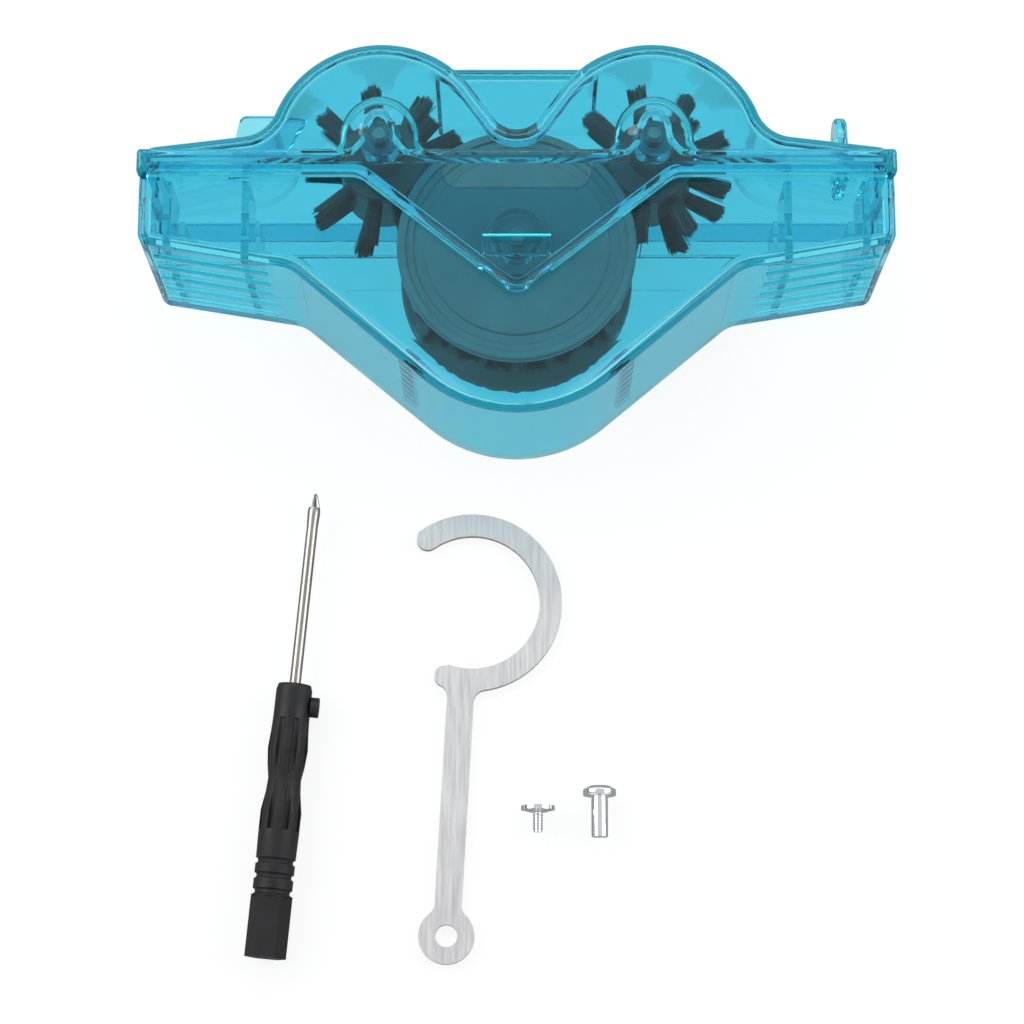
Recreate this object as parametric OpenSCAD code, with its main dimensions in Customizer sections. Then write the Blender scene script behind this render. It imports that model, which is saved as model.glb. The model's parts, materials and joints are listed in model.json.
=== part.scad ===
// Bike chain cleaner with its hanger kit laid out beside it.
// The casing lies on its back: X runs along the chain, Y up the casing and Z out of its front.

/* [Casing] */
// Length of the casing along the chain
casing_w = 175; // [168:1:190]
// Depth of the tank from its back to its front face
tank_t = 50; // [48:1:56]
// How far the cover's skirt stands out from the tank's front face
skirt_step = 5; // [4:0.5:7]
// Wall of both mouldings
wall = 2.4; // [1.8:0.1:2.8]
// Height of the shoulder that the cover's ends sit on, above the tank's underside
shoulder_h = 54.5; // [53:0.5:55.5]
// Height of the tank's rim above that shoulder
rim_rise = 4.2; // [3:0.1:5]
// Clearance between the tank and the cover
fit_gap = 0.3; // [0.2:0.05:0.5]

/* [Tank] */
// Radius of the rounded tip of the V
bottom_r = 33; // [28:1:38]
// Angle of the V's legs
leg_angle = 40; // [38:0.5:42]
// Half width where the legs meet the wings
knee_x = 52; // [50:0.5:54]
// Radius of that bend
knee_r = 8; // [4:0.5:12]
// Rise of a wing's underside from the leg to its end
wing_rise = 5.9; // [4:0.1:8]
// Radius of a wing's lower corner
end_r = 3; // [1:0.5:5]
// Half width of the chain's notches
notch_half_w = 6; // [5:0.5:8]
// Depth of the chain's notches below the shoulder
notch_depth = 9.5; // [7:0.5:9.5]
// Distance of the inner baffles from the casing's ends
baffle_inset = 24.8; // [20:0.1:28]
// Distance of the outer baffles from the casing's ends
end_baffle_inset = 6.7; // [6:0.1:10]
// Thickness of a baffle
baffle_t = 1.8; // [1.2:0.1:2.4]
// Number of finger ribs under each wing
grip_ribs = 5; // [2:1:6]
// Height of a finger rib
grip_rib_h = 0.7; // [0.4:0.1:1]
// Width of a finger rib
grip_rib_w = 1.6; // [1:0.1:2.4]
// Length of the catch that the tongue snaps over
catch_w = 14.4; // [10:0.1:18]
// Height of the catch's middle above the tank's underside
catch_h = 37.2; // [36:0.1:39]
// Width of the catch
catch_band = 3.3; // [2:0.1:4]

/* [Cover] */
// Radius of the lobes round the upper brushes
lobe_r = 26.4; // [25:0.1:28]
// Distance of the lobes from the middle
lobe_x = 31.6; // [30.5:0.1:33]
// Height of the lobes' centres above the shoulder
lobe_rise = 7.5; // [6.5:0.5:9.5]
// Height of the web that joins the lobes, above the shoulder
web_rise = 30.2; // [26:0.1:32]
// Height of the wings' top at their ends, above the shoulder
wing_end_rise = 8.2; // [7.5:0.1:10.5]
// Slope of the wings' top
wing_slope = 7; // [4:0.5:10]
// Radius of the bend from a lobe to a wing
wing_blend_r = 9; // [5:0.5:11]
// Depth of the V notch between the lobes
vee_depth = 6.5; // [5:0.5:6.5]
// Slope of the V notch's sides
vee_slope = 55; // [52:1:58]
// Radius at the bottom of the V notch
vee_r = 6.2; // [4:0.1:8]
// Half width of the tongue where it leaves the skirt
tongue_half_w = 36.5; // [35:0.1:38.5]
// Slope of the tongue's sides
tongue_slope = 38.5; // [37:0.5:39.5]
// Radius of the tongue's tip
tongue_r = 5; // [4:0.1:6.5]
// Radius where the tongue's sides run into the skirt
tongue_foot_r = 5; // [3:0.5:6]
// Wall of the skirt and of its tongue
skirt_wall = 2; // [1.4:0.1:2.2]
// Wall of the ledge above the tank's rim
ledge_wall = 1.4; // [1:0.1:2]
// Width of the hanger's ear along the depth
ear_w = 13.5; // [11:0.5:16]
// Thickness of the ear
ear_t = 2.8; // [2:0.1:4]
// Distance of the ear from the casing's end
ear_inset = 9.9; // [7.5:0.1:13]
// Height of the ear's hole above the shoulder
ear_rise = 17; // [16:0.1:19.5]
// Bore of the ear's hole
ear_bore_d = 4.2; // [4.1:0.1:5]

/* [Wheel] */
// Radius of the wheel's discs
disc_r = 28; // [25:0.5:29]
// Thickness of a disc
disc_t = 2.6; // [1.8:0.1:3.4]
// Room between the discs
disc_gap = 26; // [25:0.5:26]
// How far the wheel's centre lies below the shoulder
wheel_drop = 13; // [12.5:0.1:13.5]
// Radius of the core that the wheel's tufts stand on
core_r = 10; // [9:0.5:12]
// Radius to the tips of the wheel's tufts
wheel_tip_r = 27; // [22:0.5:27.5]
// Tufts of the wheel
wheel_tufts = 12; // [10:1:12]
// Diameter of the wheel's axle
axle_d = 4; // [3:0.1:5]

/* [Brushes] */
// Distance of the brushes' axles from the middle
brush_x = 31.8; // [31.4:0.1:32.4]
// Height of the brushes' axles above the shoulder
brush_rise = 10; // [9.5:0.1:10.5]
// Radius of a brush's drum
drum_r = 10.2; // [9:0.1:10.6]
// Length of the drum
drum_l = 20; // [18:0.5:24]
// Radius to the tips of the tufts
brush_tip_r = 20; // [17:0.5:20.5]
// Tufts in a row
brush_tufts = 9; // [8:1:12]
// Distance of each row of tufts from the middle of the depth
row_z = 5.5; // [5.4:0.1:6]
// Diameter of a brush's pin
pin_d = 3; // [2.4:0.1:4]

/* [Hanger] */
// Outer radius of the hook
hook_r = 21.6; // [18:0.1:26]
// Width of the hook's band
hook_band = 5.4; // [4:0.1:7]
// Width of the stem
stem_w = 6.4; // [5:0.1:8]
// Distance from the eye to the middle of the hook
stem_l = 79.8; // [70:0.1:90]
// Radius of the eye
eye_r = 6.6; // [5.5:0.1:8]
// Bore of the eye
eye_d = 5.2; // [4.6:0.1:6.5]
// Thickness of the strip
strip_t = 2; // [1.5:0.1:3]
// Diameter of the barrel nut's head
nut_head_d = 7.8; // [7:0.1:9]
// Diameter of its barrel
nut_d = 3.9; // [3.5:0.1:4]
// Length of its barrel
nut_l = 9.7; // [8:0.1:12]
// Diameter of the screw's head
screw_head_d = 8; // [7:0.1:9]
// Outer diameter of the screw's thread
screw_d = 2.5; // [2:0.1:3]
// Length of the screw under its head
screw_l = 5.2; // [4:0.1:8]

/* [Screwdriver] */
// Diameter of the blade
blade_d = 2.7; // [2:0.1:4]
// Length of the blade out of the handle
blade_l = 46.8; // [35:0.1:60]
// Length of the handle
handle_l = 64.5; // [50:0.5:80]
// Greatest diameter of the handle
handle_d = 9.8; // [8:0.1:12]

/* [Hidden] */

// Overrun of cuts
over = 1;
// Steps of a rounded corner, and facets of the outlines that are blended
arc_steps = 8;
outline_fn = 72;
hull_fn = 32;

// Colours of the materials
plastic = "#7bd8ea";
black_plastic = "#26282b";
bristle = "#141517";
steel = "#b9bcbf";
chrome = "#d8dadc";
disc_grey = "#50646c";

half_w = casing_w / 2;
mid_z = tank_t / 2;
lobe_h = shoulder_h + lobe_rise;
web_h = shoulder_h + web_rise;
wing_end_h = shoulder_h + wing_end_rise;
brush_h = shoulder_h + brush_rise;
wheel_h = shoulder_h - wheel_drop;
ear_h = shoulder_h + ear_rise;
casing_h = lobe_h + lobe_r;
chain_floor_h = shoulder_h - notch_depth;
chain_head_h = shoulder_h + 3;
baffle_x = half_w - baffle_inset;
end_baffle_x = half_w - end_baffle_inset;
ear_x = half_w - ear_inset;
rim_h = shoulder_h + rim_rise;
skirt_low_h = shoulder_h + fit_gap;
ledge_low_h = rim_h + fit_gap;
ledge_h = ledge_low_h + ledge_wall;
skirt_z = tank_t + skirt_step;
skirt_back_z = tank_t + fit_gap;
skirt_corner_r = 3;
corner_r = 1;
wing_corner_r = 4;

// The rim is inset so far that it passes inside the cover's ends and its back
rim_inset = wall - fit_gap / 3;
rim_half_w = half_w - rim_inset;
rim_back_z = wall + fit_gap;
rim_root = 4;

// The tank's outline
apex_h = bottom_r - bottom_r / cos(leg_angle);
knee_h = apex_h + knee_x * tan(leg_angle);
end_low_h = knee_h + wing_rise;
wing_under_angle = atan(wing_rise / (half_w - knee_x));

// The dips in the front rim
mid_dip_half_w = 18.5;
mid_dip_low_h = shoulder_h - 2.2;
wing_dip_x = half_w - 26.9;
wing_dip_half_w = 15.2;
wing_dip_low_h = shoulder_h + 1.5;
dip_r = 3.5;
dip_slant = 2.2;

// The catch ends short of the tongue, which has a window over it
catch_rise = skirt_step - skirt_wall - 2 * fit_gap;
catch_gap = 0.6;

// The V notch runs tangent to both lobes
vee_apex_h = lobe_h + lobe_r * cos(vee_slope) - (lobe_x - lobe_r * sin(vee_slope)) * tan(vee_slope);
tongue_apex_h = skirt_low_h - tongue_half_w * tan(tongue_slope);

// Axles, and the bosses that they run in
running_gap = 0.05;
end_play = 0.4;
washer_t = 0.6;
washer_r = 4.4;
hub_rise = 1.2;
disc_hub_r = 8;
boss_r = 6.2;
pin_boss_r = 4.5;
drum_hub_r = 5;
blind_wall = 1.4;
hub_end = disc_gap / 2 + disc_t + hub_rise;
boss_reach = hub_end + washer_t + end_play;
axle_low_z = wall / 4;
axle_high_z = tank_t - blind_wall;

// The bell-shaped housing over a brush's pin: half width at the pin, flare at the ledge, and rise over the pin
hump_half_w = 9.3;
hump_flare = 12.7;
hump_rise = 10.3;
hump_front_half_w = 3.5;
hump_front_flare = 7.1;
hump_front_rise = 5;
hump_skin = 0.2;
pin_high_z = skirt_z - hump_skin - blind_wall;

// The wheel's discs
disc_rim_w = 2.3;
disc_rim_rise = 0.6;
lug_r = 1.8;
lug_l = 4;
lugs = 3;

// Bristles: the slice that they stand on, their width at the foot and the tip, and how a tuft spreads
backing_t = 1.5;
strand_foot = 0.45;
strand_tip = 0.26;
ring_strands = 6;
brush_foot_spread = 1.2;
brush_tip_spread = 1.8;
wheel_foot_spreads = [1.9, 1.2];
wheel_tip_spreads = [3.6, 2.1];
wheel_inner_share = 0.5;
row_turn_shares = [0.35, 0.5];
wheel_groove = 2 * (wheel_tip_spreads[1] + backing_t);
brush_groove = 2 * (row_z + brush_tip_spread + strand_foot);

// The finger ribs under the wings, and the row of steps inside each leg
grip_rib_l = 27;
grip_pitch = 8;
step_w = 4;
step_h = 1.2;
step_count = 8;
step_pitch = 4.6;
step_x = 26;

// The tab at the left of the cover
tab_t = 2.8;
tab_out_x = half_w - 17.2;
tab_top_x = half_w - 21;
tab_in_x = 50;
tab_h = shoulder_h + 24.5;
tab_r = 2;

// The loose pieces, each placed by its own datum. The hook lies this far below the casing
layout_gap = 13.8;
layout_h = casing_h + layout_gap + eye_r + stem_l + hook_r;
casing_y = layout_h / 2 - casing_h;
eye_x = -16.5;
eye_y = eye_r - layout_h / 2;
hook_lean = 3.13;
hook_offset = 1.5;
hook_tip_angle = 128;
hook_root_angle = 253;
nub_r = 2.5;
hook_fillet = 3;
nut_x = 19.55;
nut_y = -65.9;
nut_head_t = 1.5;
nut_dome_t = 0.8;
nut_dome_share = 0.62;
nut_bore_d = 2.1;
slot_w = 1;
slot_depth = 0.8;
screw_x = 5;
screw_y = -69.2;
screw_head_t = 0.9;
screw_cone_t = 0.7;
thread_core_share = 0.78;
thread_pitch = 0.65;
driver_x = -52.67;
driver_y = -39.6;
driver_lean = 5.24;
driver_z = handle_d / 2;
blade_in = 18;
blade_bulge_d = 3;
blade_tip_l = 4;
hex_l = 14.5;
hex_share = 0.5;
flutes = 8;
flute_r = 0.75;
flute_at_share = 0.46;
flute_low_share = 0.13;
flute_l_share = 0.41;
groove_r = 0.7;
groove_at_share = 0.49;
point_share = 0.25;
knob_r = 2.4;
knob_t = 1.9;
knob_stem_r = 1;
knob_z = 5;
collar_r_share = 0.44;

// The handle's outline: along its length from the blade's end, and its radius, both as shares
handle_shares = [[0, 0.3], [0, 0.4], [0.02, 0.436], [0.13, 0.44], [0.18, 0.455], [0.24, 0.485], [0.3, 0.45],
    [0.35, 0.397], [0.4, 0.42], [0.47, 0.492], [0.55, 0.49], [0.64, 0.478], [0.78, 0.476]];
groove_shares = [0.653, 0.707, 0.764];

// One corner of an outline, [x, y, radius], as an arc between its neighbours
function unit(v) = v / norm(v);
function turned(v, a) = [v.x * cos(a) - v.y * sin(a), v.x * sin(a) + v.y * cos(a)];
function corner_arc(before, at, after, r) =
    let (here = [at.x, at.y],
        u = unit([before.x - at.x, before.y - at.y]),
        v = unit([after.x - at.x, after.y - at.y]),
        half = acos(u * v) / 2,
        centre = here + unit(u + v) * r / sin(half),
        start = here + u * r / tan(half) - centre,
        turn = cross(start, here + v * r / tan(half) - centre) > 0 ? 1 : -1)
    r == 0 ? [here] : [for (i = [0:arc_steps]) centre + turned(start, turn * (180 - 2 * half) * i / arc_steps)];
function rounded(corners) =
    let (n = len(corners))
    [for (i = [0:n - 1])
        each corner_arc(corners[(i + n - 1) % n], corners[i], corners[(i + 1) % n], corners[i][2])];
function mirrored(corners) = [for (i = [len(corners) - 1:-1:0]) [-corners[i].x, corners[i].y, corners[i][2]]];

function tank_half(top) = [[knee_x, knee_h, knee_r], [half_w, end_low_h, end_r], [half_w, top, 0]];
function tank_corners(top) = concat([[0, apex_h, bottom_r]], tank_half(top), mirrored(tank_half(top)));
function wing_top(x) = wing_end_h + (half_w - x) * tan(wing_slope);
function wing_half(low) = [[half_w, low, 0], [half_w, wing_end_h, wing_corner_r], [lobe_x, wing_top(lobe_x), 0]];
function wing_corners(low) = concat(wing_half(low), mirrored(wing_half(low)));
function tongue_half(top) = [[tongue_half_w, skirt_low_h, tongue_foot_r],
    [tongue_half_w + tongue_foot_r, skirt_low_h, 0], [tongue_half_w + tongue_foot_r, top, 0]];
function tongue_corners(top) = concat([[0, tongue_apex_h, tongue_r]], tongue_half(top), mirrored(tongue_half(top)));

// A bell outline about a pin, and the points of it at a height
function bell(half, flare, rise, foot) = concat(
    [for (i = [0:arc_steps]) [flare - (flare - half) * sin(90 * i / arc_steps), foot * (1 - i / arc_steps)]],
    [for (i = [1:2 * arc_steps - 1]) [half * cos(90 * i / arc_steps), rise * sin(90 * i / arc_steps)]],
    [for (i = [arc_steps:-1:0]) [(flare - half) * sin(90 * i / arc_steps) - flare, foot * (1 - i / arc_steps)]]);
function at_height(outline, z) = [for (p = outline) [p.x, p.y, z]];

module in_casing() {
    translate([0, casing_y, 0]) children();
}

module both_sides() {
    for (side = [0, 1]) mirror([side, 0, 0]) children();
}

// A cylinder along the depth
module depth_cylinder(x, h, r, low_z, high_z) {
    translate([x, h, low_z]) cylinder(r = r, h = high_z - low_z, $fn = outline_fn);
}

module block(low, high) {
    translate(low) cube(high - low);
}

// The tank

module tank_outline(top) {
    polygon(rounded(tank_corners(top)));
}

module dip(x, half, low) {
    translate([x, 0, mid_z])
        linear_extrude(mid_z + over)
            polygon(rounded([[half, rim_h + over, 0], [half - dip_slant, low, dip_r],
                [dip_slant - half, low, dip_r], [-half, rim_h + over, 0]]));
}

module tank_hollow() {
    translate([0, 0, wall])
        linear_extrude(tank_t - 2 * wall)
            intersection() {
                offset(delta = -wall) tank_outline(rim_h + over);
                translate([-half_w, 0]) square([casing_w, shoulder_h - rim_root]);
            }
    block([wall - rim_half_w, shoulder_h - rim_root - over, rim_back_z + wall],
        [rim_half_w - wall, rim_h + over, tank_t - wall]);
}

module tank_shell() {
    difference() {
        union() {
            linear_extrude(tank_t) tank_outline(shoulder_h);
            block([-rim_half_w, shoulder_h - rim_root, rim_back_z], [rim_half_w, rim_h, tank_t]);
        }
        tank_hollow();
    }
}

// An inner and an outer baffle, which stand on the tank's inside
module baffles() {
    difference() {
        intersection() {
            tank_hollow();
            for (x = [baffle_x, end_baffle_x])
                block([x - baffle_t / 2, apex_h, 0], [x + baffle_t / 2, shoulder_h, tank_t]);
        }
        chain_notch();
    }
}

module chain_notch() {
    translate([baffle_x - over - baffle_t, chain_floor_h + notch_half_w, mid_z])
        rotate([0, 90, 0])
            cylinder(r = notch_half_w, h = half_w, $fn = outline_fn);
    block([baffle_x - over - baffle_t, chain_floor_h + notch_half_w, mid_z - notch_half_w],
        [half_w + over, rim_h + over, mid_z + notch_half_w]);
}

module grips() {
    translate([half_w - end_r, end_low_h - end_r * tan(wing_under_angle), 0])
        rotate(wing_under_angle)
            for (i = [0:grip_ribs - 1])
                translate([0, 0, mid_z + (i - (grip_ribs - 1) / 2) * grip_pitch])
                    block([-grip_rib_l, -grip_rib_h, -grip_rib_w / 2], [0, wall / 2, grip_rib_w / 2]);
}

module level_steps() {
    translate([step_x, apex_h + step_x * tan(leg_angle), 0])
        rotate(leg_angle)
            for (i = [0:step_count - 1])
                translate([0, 0, mid_z + (i - (step_count - 1) / 2) * step_pitch])
                    block([-step_w / 2, wall / 2, -step_pitch / 4],
                        [step_w / 2, wall + step_h, step_pitch / 4]);
}

module lower_tank() {
    color(plastic) in_casing() difference() {
        union() {
            tank_shell();
            block([-catch_w / 2, catch_h - catch_band / 2, tank_t - wall / 2],
                [catch_w / 2, catch_h + catch_band / 2, tank_t + catch_rise]);
            both_sides() {
                grips();
                level_steps();
            }
        }
        both_sides() {
            chain_notch();
            dip(wing_dip_x, wing_dip_half_w, wing_dip_low_h);
        }
        dip(0, mid_dip_half_w, mid_dip_low_h);
        depth_cylinder(0, wheel_h, axle_d / 2 + running_gap, -over, axle_high_z);
    }
}

module left_baffles() {
    color(plastic) in_casing() mirror([1, 0, 0]) baffles();
}

module right_baffles() {
    color(plastic) in_casing() baffles();
}

// A boss on the inside of each wall, bored through
module boss_pair(x, h, r, bore) {
    for (span = [[wall, mid_z - boss_reach], [mid_z + boss_reach, tank_t - wall]])
        difference() {
            depth_cylinder(x, h, r, span[0], span[1]);
            depth_cylinder(x, h, bore, 0, tank_t);
        }
}

module axle_bosses() {
    color(plastic) in_casing() boss_pair(0, wheel_h, boss_r, axle_d / 2 + running_gap);
}

// The cover

module cover_outline(low, vee) {
    offset(r = corner_r, $fn = outline_fn) offset(r = -corner_r, $fn = outline_fn)
        difference() {
            union() {
                intersection() {
                    offset(r = -wing_blend_r, $fn = outline_fn) offset(r = wing_blend_r, $fn = outline_fn) {
                        for (x = [-lobe_x, lobe_x]) translate([x, lobe_h]) circle(r = lobe_r, $fn = outline_fn);
                        polygon(rounded(wing_corners(low)));
                    }
                    translate([-half_w, low]) square([casing_w, casing_h]);
                }
                translate([-lobe_x, low]) square([2 * lobe_x, web_h - low]);
            }
            if (vee)
                polygon(rounded([[0, vee_apex_h, vee_r],
                    [lobe_x, vee_apex_h + lobe_x * tan(vee_slope), 0],
                    [-lobe_x, vee_apex_h + lobe_x * tan(vee_slope), 0]]));
        }
}

// The skirt's section across the casing's depth
module skirt_band() {
    translate([0, ledge_h, 0])
        rotate([90, 0, 0])
            linear_extrude(ledge_h - skirt_low_h)
                polygon(rounded([[half_w, 0, 0], [half_w, skirt_z, skirt_corner_r],
                    [-half_w, skirt_z, skirt_corner_r], [-half_w, 0, 0]]));
}

module hump() {
    foot = ledge_low_h - brush_h;
    low = at_height(bell(hump_half_w, hump_flare, hump_rise, foot), tank_t - wall / 2);
    high = at_height(bell(hump_front_half_w, hump_front_flare, hump_front_rise, foot), skirt_z - hump_skin);
    n = len(low);
    translate([brush_x, brush_h, 0])
        polyhedron(points = concat(low, high),
            faces = [[for (i = [0:n - 1]) i], [for (i = [2 * n - 1:-1:n]) i],
                for (i = [0:n - 1]) each [[i, i + n, (i + 1) % n], [(i + 1) % n, i + n, (i + 1) % n + n]]]);
}

module ear() {
    low_x = ear_x - ear_t / 2;
    high_x = ear_x + ear_t / 2;
    difference() {
        union() {
            translate([low_x, ear_h, mid_z])
                rotate([0, 90, 0])
                    cylinder(r = ear_w / 2, h = ear_t, $fn = outline_fn);
            translate([0, 0, mid_z - ear_w / 2])
                linear_extrude(ear_w)
                    polygon([[low_x, wing_top(low_x)], [high_x, wing_top(high_x)], [high_x, ear_h], [low_x, ear_h]]);
        }
        translate([ear_x - ear_t, ear_h, mid_z])
            rotate([0, 90, 0])
                cylinder(r = ear_bore_d / 2, h = 2 * ear_t, $fn = outline_fn);
    }
}

module tab() {
    translate([0, 0, mid_z - tab_t / 2])
        linear_extrude(tab_t)
            polygon(rounded([[-tab_in_x, wing_end_h, 0], [-tab_in_x, tab_h, 0], [-tab_top_x, tab_h, tab_r],
                [-tab_out_x, wing_end_h, 0]]));
}

module cover_outside() {
    linear_extrude(tank_t - vee_depth) cover_outline(skirt_low_h, false);
    linear_extrude(tank_t) cover_outline(skirt_low_h, true);
    skirt_band();
    translate([0, 0, skirt_back_z])
        linear_extrude(skirt_step - fit_gap) polygon(rounded(tongue_corners(ledge_low_h)));
    tab();
}

module cover_hollow() {
    translate([0, 0, wall])
        linear_extrude(tank_t - vee_depth - 2 * wall)
            offset(delta = -wall) cover_outline(skirt_low_h - 2 * wall, false);
    translate([0, 0, tank_t - vee_depth - wall - over])
        linear_extrude(vee_depth + over)
            offset(delta = -wall) cover_outline(skirt_low_h - 2 * wall, true);
    block([-rim_half_w - fit_gap, skirt_low_h - over, wall], [rim_half_w + fit_gap, ledge_low_h, skirt_back_z]);
    block([-rim_half_w - fit_gap, skirt_low_h + skirt_wall, wall],
        [rim_half_w + fit_gap, ledge_low_h, skirt_z - skirt_wall]);
    translate([0, 0, skirt_back_z - over])
        linear_extrude(skirt_step - skirt_wall - fit_gap + over)
            offset(delta = -skirt_wall) polygon(rounded(tongue_corners(ledge_low_h)));
}

// The window over the catch, and the way that the catch takes as the cover comes off
module catch_cuts() {
    block([-catch_w / 2 - catch_gap, catch_h - catch_band / 2 - catch_gap, skirt_back_z],
        [catch_w / 2 + catch_gap, catch_h + catch_band / 2 + catch_gap, skirt_z + over]);
    block([-catch_w / 2 - catch_gap, tongue_apex_h, tank_t],
        [catch_w / 2 + catch_gap, catch_h, tank_t + catch_rise + fit_gap]);
}

module upper_cover() {
    color(plastic) in_casing() difference() {
        union() {
            difference() {
                cover_outside();
                cover_hollow();
            }
            both_sides() hump();
        }
        catch_cuts();
        both_sides() {
            depth_cylinder(brush_x, brush_h, pin_d / 2 + running_gap, -over, pin_high_z);
            block([rim_half_w - over, skirt_low_h - over, mid_z - notch_half_w],
                [half_w + over, chain_head_h, mid_z + notch_half_w]);
        }
    }
}

module hanger_ear() {
    color(plastic) in_casing() ear();
}

module left_pin_bosses() {
    color(plastic) in_casing() boss_pair(-brush_x, brush_h, pin_boss_r, pin_d / 2 + running_gap);
}

module right_pin_bosses() {
    color(plastic) in_casing() boss_pair(brush_x, brush_h, pin_boss_r, pin_d / 2 + running_gap);
}

// The wheel

module disc() {
    difference() {
        union() {
            cylinder(r = disc_r, h = disc_t, $fn = outline_fn);
            cylinder(r = disc_hub_r, h = disc_t + hub_rise, $fn = outline_fn);
            for (i = [0:lugs - 1])
                rotate(90 + i * 360 / lugs)
                    translate([disc_r - disc_rim_w + lug_r / 4, 0, -lug_l])
                        cylinder(r = lug_r, h = lug_l + disc_t / 2, $fn = hull_fn);
        }
        translate([0, 0, disc_t - disc_rim_rise])
            difference() {
                cylinder(r = disc_r - disc_rim_w, h = disc_t, $fn = outline_fn);
                translate([0, 0, -over]) cylinder(r = disc_hub_r, h = disc_t + 2 * over, $fn = outline_fn);
            }
        translate([0, 0, -over]) cylinder(r = axle_d / 2, h = disc_t + hub_rise + 2 * over, $fn = outline_fn);
    }
}

module at_wheel() {
    in_casing() translate([0, wheel_h, mid_z]) children();
}

module wheel_front_disc() {
    color(disc_grey) at_wheel() translate([0, 0, disc_gap / 2]) disc();
}

module wheel_rear_disc() {
    color(disc_grey) at_wheel() mirror([0, 0, 1]) translate([0, 0, disc_gap / 2]) disc();
}

// A drum with a groove for the slice that its bristles stand on
module grooved_drum(r, length, hub, hub_length, bore, groove) {
    difference() {
        union() {
            cylinder(r = r, h = length, center = true, $fn = outline_fn);
            cylinder(r = hub, h = hub_length, center = true, $fn = outline_fn);
        }
        rotate_extrude($fn = outline_fn)
            translate([r - backing_t, -groove / 2]) square([backing_t + over, groove]);
        cylinder(r = bore, h = hub_length + 2 * over, center = true, $fn = outline_fn);
    }
}

module wheel_core() {
    color(black_plastic) at_wheel()
        grooved_drum(core_r, disc_gap, core_r - backing_t, disc_gap, axle_d / 2, wheel_groove);
}

// A tapering three-sided strand of triangles between two points
module strand(from, to) {
    along = unit(to - from);
    side = unit(cross(along, [0, 0, 1]));
    up = cross(along, side);
    ring = [for (k = [0:2]) cos(120 * k) * side + sin(120 * k) * up];
    polyhedron(
        points = concat([for (p = ring) from + strand_foot / 2 * p], [for (p = ring) to + strand_tip / 2 * p]),
        faces = [[0, 1, 2], [5, 4, 3], for (k = [0:2]) each [[k, k + 3, (k + 1) % 3],
            [(k + 1) % 3, k + 3, (k + 1) % 3 + 3]]]);
}

// One ring of a tuft along X: its strands spread from an oval foot to a wider oval tip
module tuft_ring(foot_r, tip_r, foot_spread, tip_spread) {
    for (i = [0:ring_strands - 1]) {
        a = 360 * i / ring_strands;
        strand([foot_r, foot_spread[0] * cos(a), foot_spread[1] * sin(a)],
            [tip_r, tip_spread[0] * cos(a), tip_spread[1] * sin(a)]);
    }
}

module backing(r, width) {
    rotate_extrude($fn = outline_fn)
        translate([r - backing_t, -width / 2]) square([backing_t, width]);
}

module wheel_bristles() {
    color(bristle) at_wheel() {
        backing(core_r, wheel_groove);
        for (i = [0:wheel_tufts - 1])
            rotate(90 + 360 * (i + 0.5) / wheel_tufts)
                for (share = [wheel_inner_share, 1])
                    tuft_ring(core_r - backing_t / 2, wheel_tip_r, share * wheel_foot_spreads,
                        share * wheel_tip_spreads);
    }
}

module wheel_axle() {
    color(steel) in_casing() depth_cylinder(0, wheel_h, axle_d / 2, axle_low_z, axle_high_z - axle_low_z);
}

module washer_pair(bore) {
    for (z = [mid_z - hub_end - washer_t, mid_z + hub_end])
        translate([0, 0, z])
            difference() {
                cylinder(r = washer_r, h = washer_t, $fn = outline_fn);
                translate([0, 0, -over]) cylinder(r = bore, h = washer_t + 2 * over, $fn = outline_fn);
            }
}

module wheel_washers() {
    color(steel) in_casing() translate([0, wheel_h, 0]) washer_pair(axle_d / 2);
}

// The upper brushes

module at_brush(side) {
    in_casing() translate([side * brush_x, brush_h, mid_z]) children();
}

module brush_drum() {
    grooved_drum(drum_r, drum_l, drum_hub_r, 2 * hub_end, pin_d / 2, brush_groove);
}

module brush_bristles() {
    backing(drum_r, brush_groove);
    for (z = [-row_z, row_z])
        for (i = [0:brush_tufts - 1])
            rotate(360 * (i + row_turn_shares[z > 0 ? 1 : 0]) / brush_tufts)
                translate([0, 0, z])
                    tuft_ring(drum_r - backing_t / 2, brush_tip_r, [brush_foot_spread, brush_foot_spread],
                        [brush_tip_spread, brush_tip_spread]);
}

module brush_pin(side) {
    in_casing() depth_cylinder(side * brush_x, brush_h, pin_d / 2, axle_low_z, pin_high_z - axle_low_z);
}

module brush_washers(side) {
    in_casing() translate([side * brush_x, brush_h, 0]) washer_pair(pin_d / 2);
}

module left_brush_drum() {
    color(black_plastic) at_brush(-1) brush_drum();
}

module left_brush_bristles() {
    color(bristle) at_brush(-1) brush_bristles();
}

module left_brush_pin() {
    color(steel) brush_pin(-1);
}

module left_brush_washers() {
    color(steel) brush_washers(-1);
}

module right_brush_drum() {
    color(black_plastic) at_brush(1) brush_drum();
}

module right_brush_bristles() {
    color(bristle) at_brush(1) brush_bristles();
}

module right_brush_pin() {
    color(steel) brush_pin(1);
}

module right_brush_washers() {
    color(steel) brush_washers(1);
}

// The hanger: a flat hook, and the barrel nut and screw that hold it to the ear

module hook_band_2d() {
    difference() {
        circle(r = hook_r, $fn = outline_fn);
        circle(r = hook_r - hook_band, $fn = outline_fn);
        polygon(concat([[0, 0]], [for (i = [0:arc_steps])
            2 * hook_r * turned([1, 0], hook_tip_angle + (hook_root_angle - hook_tip_angle) * i / arc_steps)]));
    }
    rotate(hook_tip_angle) translate([hook_r - hook_band / 2, 0]) circle(r = hook_band / 2, $fn = outline_fn);
    rotate(hook_root_angle) translate([hook_r - nub_r, 0]) circle(r = nub_r, $fn = outline_fn);
}

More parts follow.
